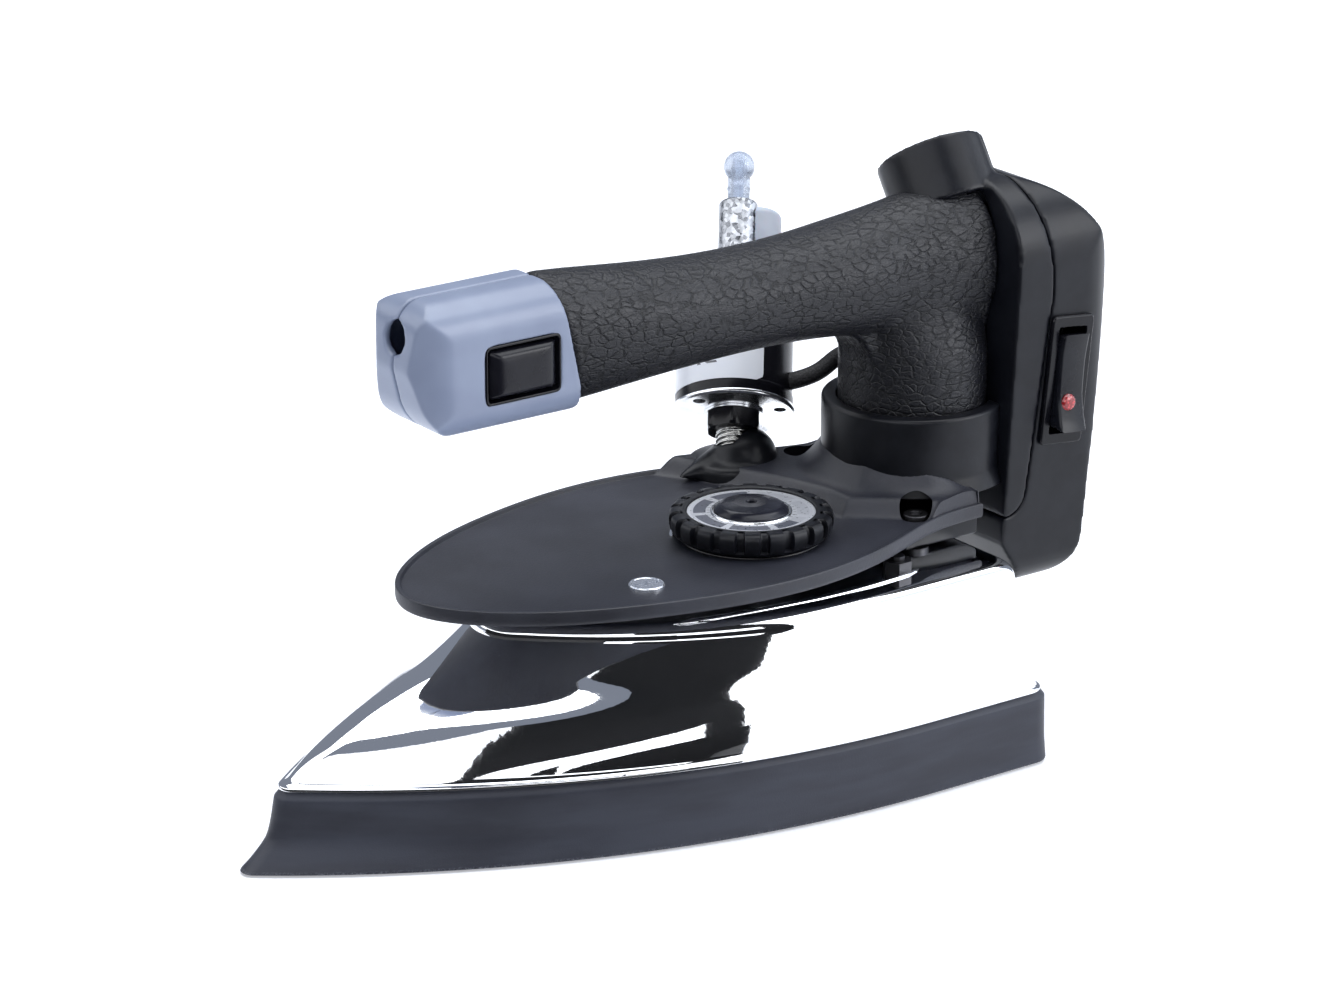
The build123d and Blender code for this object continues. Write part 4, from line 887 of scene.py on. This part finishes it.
def make_collar(finish):
    """Round collar for the handle's leg, cut off where the housing starts."""
    top, bore = span("handle_leg")[0][2] + 23.0, COLLAR_R - 4.0
    shape = eased([(bore, DECK_TOP - 2), (bore, top), (COLLAR_R, top), (COLLAR_R, DECK_TOP + 3),
                   (COLLAR_R + 1.6, DECK_TOP - 1.5), (bore, DECK_TOP - 2)], [0, 0.7, 1.3, 5.0, 0.2], 6)
    collar = upright(LEG_X, 0).turned("leg_collar", shape[:-1], 160, loop=True)
    levels = []
    for z in (40, 120):
        x = HEEL_X - 9.9 - max(z - 48, 0) * 0.056
        levels.append([(HEEL_X - 60, 60, z), (x, 60, z), (x, -60, z), (HEEL_X - 60, -60, z)])
    cut(collar, skinned("slicer", levels))
    settle(collar, finish["collar_black"], "base_plate", sharp=38)


def make_base_screws(finish):
    """Blackened socket screws down in the two rear wells."""
    shape = eased([(3.4, PLATE_TOP - 0.5), (3.4, PLATE_TOP + 1.1), (1.7, PLATE_TOP + 1.1), (1.6, PLATE_TOP + 0.2),
                   (0.05, PLATE_TOP + 0.1)], [0, 0.4, 0.1, 0.1, 0], 4)
    screws = [upright(WELL_X, side * WELL_Y).turned("screw", shape, 36) for side in (-1, 1)]
    settle(joined("rear_screws", screws), finish["blackened_steel"], "base_screws")


# fin of the valve boss: distance ahead of the valve, half width, height over the deck
FIN_STATIONS = ((18, 0.9, -2.2), (14, 2.4, -0.3), (10, 3.8, 1.4), (6, 5.0, 3.2), (2, 6.2, 5.0), (-2, 7.0, 6.2),
                (-5, 7.0, 6.2))


def make_valve_boss(finish, valve):
    """Humped boss with a fin that carries the valve's foot."""
    x, y, _ = valve.origin
    bulb = [(8.6 * sin(a), DECK_TOP - 0.6 + 8.4 * cos(a)) for a in np.linspace(0.02, 2.1, 22)]
    seat = eased([(6.0, -9), (5.9, -2.0), (5.5, -1.5), (3.0, -1.5)], [0, 1.2, 0.5, 0])
    skirt = eased([(13.0, DECK_TOP - 5.5), (12.4, DECK_TOP - 0.8), (8.5, DECK_TOP + 0.9), (5, DECK_TOP + 2)],
                  [0, 1, 2, 0])
    turns = np.linspace(0, 2 * pi, 33)[:-1]
    fin = [[(x + ahead, y + wide * cos(a), DECK_TOP - 3 + (tall + 3) * max(sin(a), -0.3)) for a in turns]
           for ahead, wide, tall in FIN_STATIONS]
    parts = [upright(x - 3.0, y + 1.8).turned("bulb", bulb, 64), valve.turned("seat", seat, 64),
             upright(x, y).turned("skirt", skirt, 64), skinned("fin", fin)]
    boss = kneaded(joined("valve_boss", parts), 0.7, 9)
    cut(boss, valve.turned("bore", [(5.4, -6), (5.4, 5)], 48))
    cut(boss, skinned("under", [[(-200, -200, z), (200, -200, z), (200, 200, z), (-200, 200, z)]
                                for z in (0, SHIELD_FOOT + 0.4)]))
    settle(boss, finish["collar_black"], "base_plate", sharp=50)


def bevelled_box(name, low, high, radius, segments=4):
    """Box with rounded edges, from its low to its high corner."""
    (x0, y0, z0), (x1, y1, z1) = low, high
    obj = skinned(name, [[(x0, y0, z), (x1, y0, z), (x1, y1, z), (x0, y1, z)] for z in (z0, z1)])
    edge = obj.modifiers.new("edge", "BEVEL")
    edge.width = radius * MM
    edge.segments = segments
    edge.limit_method = "ANGLE"
    return baked(obj)


def make_heel_block(finish):
    """Block under the heel that ties the shield to the cover."""
    block = bevelled_box("heel_block", (HEEL_X, -28, SHIELD_FOOT - 5), (HEEL_X + 25, 28, SHIELD_FOOT + 0.5), 0.8)
    settle(block, finish["collar_black"], "base_plate")


# ---------------------------------------------------------------- heat knob
def make_knob(finish):
    """Toothed heat knob with a recess for its dial."""
    low, high = span("knob")
    foot, top, radius = low[2], high[2], halves("knob")[0]
    teeth, per_tooth = 20, 20
    count = np.arange(teeth * per_tooth)
    turns = count * 2 * pi / len(count)
    phase = (count % per_tooth) / per_tooth
    notch = np.clip((0.19 - np.abs(phase - 0.5)) / 0.05, 0, 1)
    notch = notch * notch * (3 - 2 * notch)
    dial_r = halves("dial_ring")[0] + 0.15
    dial_foot = span("dial_ring")[0][2]
    # height, radius, share of the notch's depth
    profile = [(foot, radius - 7.0, 0), (foot, radius - 2.6, 0), (foot + 0.25, radius - 1.7, 0),
               (foot + 0.9, radius - 1.0, 0), (foot + 1.25, radius - 0.65, 0.15), (foot + 1.7, radius - 0.4, 1),
               (foot + 3.2, radius - 0.05, 1), (top - 1.9, radius, 1), (top - 0.95, radius - 0.22, 1),
               (top - 0.4, radius - 0.62, 1), (top - 0.1, radius - 1.2, 1), (top, radius - 1.9, 0.95),
               (top, radius - 2.6, 0.3), (top, radius - 2.9, 0), (top, dial_r + 0.25, 0), (top - 0.12, dial_r, 0),
               (dial_foot, dial_r, 0), (dial_foot, 3.0, 0)]
    spindle = upright(*middle("knob")[:2])
    rings = [spindle.at(r - 1.7 * notch * share, turns, z) for z, r, share in profile]
    settle(skinned("heat_knob", rings), finish["knob_black"], "knob", sharp=32)


CLIP_TURN, CLIP_REACH, CLIP_R = atan2(-16.1, 13.1), 0.36, 20.9


def make_knob_trim(finish):
    """Dome and bright ring on the knob; seat and index clip on the plate under it."""
    spindle = upright(*middle("knob")[:2])
    foot, top = span("knob_cap")[0][2], span("knob_cap")[1][2]
    disc, base = halves("knob_cap")[0], span("dial_ring")[1][2]
    shape = eased([(disc - 1.2, foot), (disc - 1.2, base + 0.02), (disc, base + 0.02), (disc - 0.15, base + 0.75),
                   (disc * 0.84, top - 0.75), (disc * 0.45, top - 0.1), (1.5, top), (1.25, top - 0.4),
                   (1.25, top - 1.6)], [0, 0, 0.2, 0.5, 3.0, 5.0, 0.2, 0.1], 6)
    settle(spindle.turned("knob_dome", shape, 96), finish["knob_dome"], "knob_cap", sharp=40)
    ring = eased([(disc + 0.1, base), (disc + 0.15, base + 0.5), (disc + 0.75, base + 0.45), (disc + 0.95, base)],
                 [0, 0.2, 0.3, 0])
    settle(spindle.turned("dome_trim", ring, 96, loop=True), finish["bright_metal"], [], "knob")

    low, high = span("knob_bush")
    r = halves("knob_bush")[0]
    shape = eased([(3.4, low[2]), (r, low[2]), (r - 0.2, high[2]), (3.4, high[2])], [0, 0.1, 0.1, 0])
    settle(spindle.turned("knob_seat", shape, 96, loop=True), finish["coil_black"], "knob_bush")

    level = span("knob")[0][2] - 0.7
    arcs = []
    for a in np.linspace(CLIP_TURN - CLIP_REACH, CLIP_TURN + CLIP_REACH, 25):
        tip = min(1.0, (CLIP_REACH - abs(a - CLIP_TURN)) * 12 + 0.35)
        arcs.append([spindle.at(CLIP_R + u * tip, a, level + v)
                     for u, v in ((-0.7, 0), (0.7, 0), (0.7, 0.35), (0.4, 0.55), (-0.4, 0.55), (-0.7, 0.35))])
    settle(skinned("index_clip", arcs), finish["bright_metal"], [], "iron")


def make_badge(finish):
    """Small bright badge let into the plate."""
    (x, y, _), r = middle("badge"), halves("badge")[0]
    foot, top = span("badge")[0][2], span("badge")[1][2]
    face = top - 0.16
    shape = eased([(r, foot), (r, top - 0.3), (r - 0.3, top), (r - 0.8, top), (r - 1.0, face), (0.3, face)],
                  [0, 0.15, 0.15, 0.1, 0.1, 0])
    settle(upright(x, y).turned("badge_disc", shape, 72), badge_face((x, y)), "badge")


# ---------------------------------------------------------------- handle
def make_handle(finish):
    """Grip and leg as one skin, drawn in beside the housing, and the two cap halves."""
    grip = kneaded(copy_of("grip_skin", ["handle_grip", "handle_leg"]), 0.85, 14, 0.6)
    rear = span("housing_front")[1][0]
    for vertex in grip.data.vertices:
        x, z = vertex.co.x / MM, vertex.co.z / MM
        near = min(max((rear + 30 - x) / 26, 0), 1) * min(max((z - 98) / 16, 0), 1)
        vertex.co.y *= 1 - 0.20 * near * near * (3 - 2 * near)
    settle(grip, finish["leather_grip"], ["handle_grip", "handle_leg"], sharp=60)
    for node in ("cap_left", "cap_right"):
        half = kneaded(copy_of(node + "_skin", [node]), 0.42, 14)
        settle(half, finish["cap_grey"], node, sharp=60)
    make_button(finish)


def rounded_rect(centre, half_long, half_high, y, corner):
    """Ring of an upright rectangle with round corners, facing the left side."""
    ring = []
    for sx, sz in ((1, 1), (-1, 1), (-1, -1), (1, -1)):
        start = atan2(sz, sx) - pi / 4
        ring += [(centre[0] + sx * (half_long - corner) + corner * cos(a), y,
                  centre[2] + sz * (half_high - corner) + corner * sin(a))
                 for a in np.linspace(start, start + pi / 2, 7)]
    return ring


def make_button(finish):
    """Steam button: rectangular pad with sloping ends, and its dark surround."""
    foot, face = span("steam_button")[0][1], span("steam_button")[1][1]
    centre, (half_long, _, half_high) = middle("steam_button"), halves("steam_button")
    rings = [rounded_rect(centre, half_long - inset_x, half_high - inset_z, y, corner)
             for y, inset_x, inset_z, corner in (
                 (foot, 0, 0, 0.9), (face - 2.4, 0, 0, 0.9), (face - 2.1, 0.12, 0.08, 1.0),
                 (face - 0.75, 1.5, 0.9, 1.0), (face - 0.45, 1.95, 1.25, 1.0), (face - 0.25, 2.5, 1.75, 0.9),
                 (face - 0.06, 4.4, 3.2, 0.6), (face, 7.5, 4.8, 0.3))]
    settle(skinned("steam_pad", rings), finish["smoke_plastic"], "steam_button", sharp=50)

    front = span("cap_left")[1][1]
    rings = [rounded_rect(centre, half_long + grow, half_high + grow, front + out, corner)
             for grow, out, corner in (
                 (1.5, -5.0, 1.4), (1.5, -0.1, 1.4), (1.35, 0.12, 1.3), (1.1, 0.16, 1.2), (0.85, 0.05, 1.1),
                 (0.55, -1.4, 1.0), (0.4, -1.6, 1.0), (0.4, -5.0, 1.0))]
    surround = skinned("button_surround", rings + rings[:1], (False, False))
    settle(surround, finish["coil_black"], "button_frame", sharp=50)


# ---------------------------------------------------------------- rear housing
def make_housing(finish):
    """Rear housing's two shells, the switch bezel and the lamp lens."""
    for node in ("housing_front", "housing_rear"):
        shell = kneaded(copy_of(node + "_skin", [node]), 0.6, 8)
        settle(shell, finish["black_shell"], node, sharp=60)
    body = kneaded(copy_of("switch_bezel", ["switch_body"]), 0.2, 4)
    settle(body, finish["coil_black"], "switch_body", sharp=60)
    make_rocker(finish)
    (x, _, z), r = middle("switch_lens"), halves("switch_lens")[0]
    face = span("switch_body")[1][1] + 2.9
    shape = eased([(r, face - 2.5), (r, face - 0.1), (r * 0.8, face + 0.5), (r * 0.4, face + 0.75),
                   (0.05, face + 0.8)], [0, 0.3, 0.8, 0.8, 0])
    lens = Spindle((x, 0, z), (0.03, 1, 0.10)).turned("lamp_lens", shape, 40)
    settle(lens, finish["red_lens"], "switch_lens", sharp=50)


def make_rocker(finish):
    """Rocker with a dished face; its lower end stands proud."""
    lean, wide = radians(6.0), 4.5
    up, out = np.array((-sin(lean), 0, cos(lean))), np.array((0, 1, 0))
    across = np.array((cos(lean), 0, sin(lean)))
    half = halves("switch_rocker")[2] / cos(lean) - 0.7
    steps = np.linspace(1, -1, 25)
    rise = flow([-1, -0.72, -0.2, 0.45, 1], [4.9, 3.5, 1.9, 1.6, 2.3], steps)
    x, _, z = middle("switch_rocker")
    pivot = np.array((x, span("switch_body")[1][1], z))
    rings = []
    for side, inset in ((-wide, 1.1), (-wide + 0.12, 0.55), (-wide + 0.45, 0.16), (-wide + 0.95, 0.0),
                        (wide - 0.95, 0.0), (wide - 0.45, 0.16), (wide - 0.12, 0.55), (wide, 1.1)):
        middle_line = pivot + across * side
        ring = [middle_line + up * (half - inset) * t + out * (r - inset) for t, r in zip(steps, rise)]
        ring += [middle_line + up * (half - inset - 0.6) * end - out * 1.2 for end in (-1, 1)]
        rings.append(ring)
    settle(skinned("rocker_face", rings), finish["rocker_grey"], "switch_rocker", sharp=50)


# ---------------------------------------------------------------- water valve
INLET_HEIGHT = 86.0
# heights along the valve's axis and radii, in millimetres
NUT_FOOT, NUT_TOP, FLANGE_TOP = 3.5, 9.0, 10.3
COIL_TOP, COIL_R = FLANGE_TOP + 40.0, 16.2
HEAD_TOP, YOKE_R = COIL_TOP + 21.0, 5.4
THREAD_PITCH, THREAD_R, THREAD_DEPTH = 1.5, 4.85, 0.62
HOLE_TURNS = (45.0, 165.0, 285.0)
LABEL_START, LABEL_SWEEP = radians(-74.0), radians(194.0)
LABEL_SIDE = (-0.809, 0.588, 0.0)
BARB_NECK, BARB_BALL, BARB_BORE = 3.1, 4.35, 1.6


def make_valve_foot(finish, valve):
    """Threaded nipple, hexagon nut, washer and the flange with its holes."""
    turns = np.arange(72) * 2 * pi / 72
    levels = np.arange(-6.0, NUT_FOOT + 1.0, THREAD_PITCH / 14)
    rings = []
    for h in levels:
        saw = np.abs(((h / THREAD_PITCH - turns / (2 * pi)) % 1.0) - 0.5) * 2
        rings.append(valve.at(THREAD_R - THREAD_DEPTH * np.clip(saw * 1.4 - 0.2, 0, 1), turns, h))
    rings.append(valve.at(4.2, turns, levels[-1] + 0.05))
    settle(skinned("threaded_nipple", rings), finish["brass_thread"], "valve_nipple", sharp=50)

    turns = np.arange(96) * 2 * pi / 96
    hexagon = 7.0 / np.cos((turns + pi / 6) % (pi / 3) - pi / 6)
    rings = [valve.at(np.minimum(hexagon, r), turns, h) for h, r in (
        (NUT_FOOT, 7.0), (NUT_FOOT + 0.05, 7.25), (NUT_FOOT + 0.75, 8.2), (NUT_TOP - 0.75, 8.2),
        (NUT_TOP - 0.05, 7.3), (NUT_TOP, 7.0))]
    settle(skinned("black_nut", rings), finish["coil_black"], "lock_nut", sharp=22)

    washer = eased([(5.1, NUT_TOP - 0.75), (8.3, NUT_TOP - 0.75), (8.3, NUT_TOP), (5.1, NUT_TOP)],
                   [0, 0.15, 0.15, 0])
    settle(valve.turned("bright_washer", washer, 72, loop=True), finish["bright_metal"], [], "iron")

    shape = eased([(5.2, NUT_TOP), (16.2, NUT_TOP), (16.9, NUT_TOP + 0.35), (16.9, FLANGE_TOP),
                   (15.0, FLANGE_TOP + 0.01), (5.2, FLANGE_TOP + 0.01)], [0, 0.5, 0.4, 0.4, 0.1, 0], 5)
    flange = valve.turned("bright_flange", shape, 128, loop=True)
    drills = [Spindle(valve.at(13.1, radians(turn), 0.0), valve.axis).turned("hole", [(1.75, 6), (1.75, 14)], 24)
              for turn in HOLE_TURNS]
    cut(flange, joined("holes", drills))
    settle(flange, finish["bright_metal"], "valve_flange", sharp=35)


def make_coil(finish, valve):
    """Coil case with its lipped ends, and the label round most of one side."""
    inner = COIL_R - 0.3
    shape = eased([(14.0, FLANGE_TOP), (COIL_R, FLANGE_TOP), (COIL_R, FLANGE_TOP + 3.2), (inner, FLANGE_TOP + 3.5),
                   (inner, COIL_TOP - 4.4), (COIL_R, COIL_TOP - 4.1), (COIL_R, COIL_TOP - 0.2),
                   (COIL_R - 1.2, COIL_TOP), (4.0, COIL_TOP)], [0, 0.3, 0.1, 0.1, 0.1, 0.1, 1.0, 0.8, 0], 5)
    settle(valve.turned("coil_case", shape, 128), finish["coil_black"], "coil_housing", sharp=35)

    low, high, corner = FLANGE_TOP + 3.0, COIL_TOP - 4.0, 2.0
    columns = np.linspace(0, 1, 97)
    film = []
    for h in low + (high - low) * np.linspace(0, 1, 33):
        edge = min(h - low, high - h)
        trim = corner - sqrt(max(corner**2 - max(corner - edge, 0) ** 2, 0)) if edge < corner else 0.0
        share = trim / (COIL_R * LABEL_SWEEP)
        film.append(valve.at(COIL_R + 0.14, LABEL_START + LABEL_SWEEP * (share + (1 - 2 * share) * columns), h))
    label = skinned("coil_label_film", film, (False, False), closed_ring=False)
    thick = label.modifiers.new("thick", "SOLIDIFY")
    thick.thickness = 0.2 * MM
    thick.offset = -1
    settle(baked(label), printed_label(valve.origin, valve.axis, LABEL_SIDE, low, high), "coil_label")


def make_valve_head(finish, valve):
    """Zinc yoke, nylon plug block and the clear barb with its ball end."""
    shape = eased([(YOKE_R - 0.6, COIL_TOP), (YOKE_R, COIL_TOP), (YOKE_R, HEAD_TOP - 0.5),
                   (YOKE_R - 0.35, HEAD_TOP), (1.5, HEAD_TOP)], [0, 0, 0.3, 0.2, 0], 4)
    settle(valve.turned("zinc_yoke", shape, 96), finish["spangled_zinc"], "valve_head", sharp=35)
    plug = kneaded(copy_of("nylon_plug", ["coil_plug"]), 0.4, 5)
    settle(plug, finish["nylon_pale"], "coil_plug", sharp=50)
    make_lead(finish, valve)

    centre = HEAD_TOP + 7.5 + BARB_BALL - 0.6
    turns = np.linspace(pi - asin(BARB_BORE / BARB_BALL), asin(BARB_NECK / BARB_BALL), 30)
    ball = [(BARB_BALL * sin(a), centre - BARB_BALL * cos(a)) for a in turns]
    shape = [(BARB_BORE, HEAD_TOP), (BARB_BORE, centre + sqrt(BARB_BALL**2 - BARB_BORE**2) - 0.25), *ball,
             (BARB_NECK, HEAD_TOP + 5.0), (BARB_NECK + 0.18, HEAD_TOP + 4.6), (BARB_NECK + 0.18, HEAD_TOP + 4.2),
             (BARB_NECK, HEAD_TOP + 3.8), (BARB_NECK, HEAD_TOP)]
    settle(valve.turned("clear_barb", shape, 72, loop=True), finish["clear_plastic"], "hose_barb", sharp=50)


def make_lead(finish, valve):
    """Black sleeve from the coil's foot up into the leg's collar."""
    start, away = (valve.at(r, radians(168.0), h) for r, h in ((13.0, 17.0), (21.0, 18.0)))
    end = np.array((LEG_X + 6.0, -10.0, start[2] + 13.0))
    route = bpy.data.curves.new("valve_sleeve", "CURVE")
    route.dimensions = "3D"
    spline = route.splines.new("NURBS")
    points = [start, away, away + (-5.0, 2.0, 3.0), end + (1.0, -12.0, -3.0), end]
    spline.points.add(len(points) - 1)
    for point, place in zip(spline.points, points):
        point.co = (*(np.array(place) * MM), 1.0)
    spline.order_u = 4
    spline.use_endpoint_u = True
    route.bevel_depth = 2.4 * MM
    route.bevel_resolution = 8
    route.use_fill_caps = True
    path = linked("valve_sleeve", route)
    mesh = bpy.data.meshes.new_from_object(path)
    bpy.data.objects.remove(path)
    settle(linked("valve_sleeve", mesh), finish["sleeve_black"], ["valve_lead", "lead_gland"], sharp=60)


# ---------------------------------------------------------------- plain nodes
def dress_nodes(finish):
    """CAD nodes that stay as they are get a finish."""
    dark = ("base_screws", "spacer_pillars", "cover_nuts", "cover_studs")
    for node, obj in frame["nodes"].items():
        obj.data.materials.clear()
        obj.data.materials.append(finish["blackened_steel" if node in dark else SLOTS[node]].material)


# ---------------------------------------------------------------- studio
def soft_light(name, place, target, size, power, colour):
    """Rectangular lamp that faces its target."""
    lamp = bpy.data.lights.new(name, "AREA")
    lamp.shape = "RECTANGLE"
    lamp.size, lamp.size_y = size
    lamp.energy = power
    lamp.color = colour
    obj = linked(name, lamp)
    obj.location = place
    obj.rotation_mode = "QUATERNION"
    obj.rotation_quaternion = (Vector(target) - Vector(place)).to_track_quat("-Z", "Y")


def sheet(name, points, faces, colour, roughness, glow=0.0):
    """Sheet of the studio."""
    mesh = bpy.data.meshes.new(name)
    mesh.from_pydata(points, [], faces)
    paint = Finish(name + "_paint", colour, roughness)
    if glow:
        paint.shader.inputs["Emission Color"].default_value = (*colour, 1)
        paint.shader.inputs["Emission Strength"].default_value = glow
    mesh.materials.append(paint.material)
    obj = linked(name, mesh)
    return obj


def unseen(obj):
    """Makes a card show in reflections only."""
    obj.visible_camera = obj.visible_diffuse = obj.visible_shadow = False


def standing_card(name, distance, start, end, low, high, colour, glow=0.0):
    """Unseen card on an arc round the object; start and end are headings in degrees."""
    turns = [radians(a) for a in np.linspace(start, end, 25)]
    points = [(distance * cos(a), distance * sin(a), z) for a in turns for z in (low, high)]
    faces = [(2 * k, 2 * k + 2, 2 * k + 3, 2 * k + 1) for k in range(24)]
    unseen(sheet(name, points, faces, colour, 1.0, glow))


BLACK, DEEP_BLACK = (0.004, 0.004, 0.005), (0.003, 0.003, 0.004)
WHITE, COOL_GREY = (1.0, 1.0, 1.0), (0.9, 0.94, 1.0)
FLOOR_Z, FLOOR_HALF, MAT_R = -0.0006, 6, 0.62
# name, distance, first and last heading, foot, top, colour, glow
CARDS = (
    ("toe_white_card", 1.9, -70, 62, 0.45, 4.5, WHITE, 1.1),
    ("side_white_card", 1.9, 62, 97, 0.45, 0.92, WHITE, 1.15),
    ("heel_white_card", 1.9, 97, 138, -0.0005, 3.2, WHITE, 1.15),
    ("heel_grey_card", 1.9, 138, 185, -0.0005, 3.2, COOL_GREY, 0.72),
    ("dark_canopy", 1.9, 62, 97, 0.92, 4.5, BLACK),
    ("dark_skirt", 0.62, -30, 99, -0.0005, 0.17, DEEP_BLACK),
    ("toe_skirt", 0.63, -30, 72, -0.0005, 0.22, DEEP_BLACK),
    ("dark_post", 0.8, 92, 98, 0.0, 0.62, DEEP_BLACK),
)


def make_studio():
    """White room with soft lamps, and dark cards that give the chrome its bands."""
    scene = bpy.context.scene
    scene.view_settings.view_transform = "Standard"
    scene.view_settings.look = "None"
    scene.view_settings.exposure = 0.0
    world = bpy.data.worlds.new("white_room")
    scene.world = world
    world.use_nodes = True
    sky = world.node_tree.nodes["Background"]
    sky.inputs["Color"].default_value = (0.74, 0.82, 1.0, 1)
    sky.inputs["Strength"].default_value = 0.30
    corners = [(sx * FLOOR_HALF, sy * FLOOR_HALF, FLOOR_Z) for sx, sy in ((-1, -1), (1, -1), (1, 1), (-1, 1))]
    sheet("pale_floor", corners, [(0, 1, 2, 3)], (0.86, 0.87, 0.90), 0.9, 0.45)
    soft_light("ceiling_box", (-0.35, -0.25, 1.7), (-0.05, 0, 0), (2.2, 1.8), 42, (0.96, 0.98, 1.0))
    soft_light("heel_box", (-1.0, 1.25, 0.85), (-0.05, 0, 0.06), (0.9, 0.8), 9, (0.97, 0.98, 1.0))
    for card in CARDS:
        standing_card(*card)
    turns = [radians(a) for a in np.linspace(-40, 99, 25)]
    mat = [(MAT_R * cos(a), MAT_R * sin(a), 0.0) for a in turns] + [(-0.02, 0.12, 0.0), (0.16, 0.02, 0.0)]
    unseen(sheet("dark_mat", mat, [tuple(range(len(mat)))], DEEP_BLACK, 0.9))


def make_camera():
    """Camera at azimuth 144 degrees, elevation 19.4 degrees."""
    azimuth, elevation, distance, aim = radians(144.0), radians(19.4), 1.25, Vector((0.0007, 0.0352, 0.0880))
    back = Vector((sin(azimuth) * cos(elevation), -cos(azimuth) * cos(elevation), sin(elevation)))
    data = bpy.data.cameras.new("studio_camera")
    data.sensor_width, data.lens = 36.0, 133.2
    data.clip_start, data.clip_end = 0.05, 50.0
    camera = linked("studio_camera", data)
    camera.location = aim + back * distance
    camera.rotation_mode = "QUATERNION"
    camera.rotation_quaternion = (-back).to_track_quat("-Z", "Y")
    bpy.context.scene.camera = camera


def main():
    finish = make_finishes()
    inlet = mounts["water_inlet"]
    axis = np.array(inlet["axis"])
    valve = Spindle(np.array(inlet["pos_m"]) / MM - axis * INLET_HEIGHT, axis)
    dress_nodes(finish)
    for make in (make_sole, make_cover, make_cover_bead, make_plate, make_collar, make_base_screws):
        make(finish)
    make_valve_boss(finish, valve)
    for make in (make_heel_block, make_knob, make_knob_trim, make_badge, make_handle, make_housing):
        make(finish)
    for make in (make_valve_foot, make_coil, make_valve_head):
        make(finish, valve)
    make_studio()
    make_camera()


main()
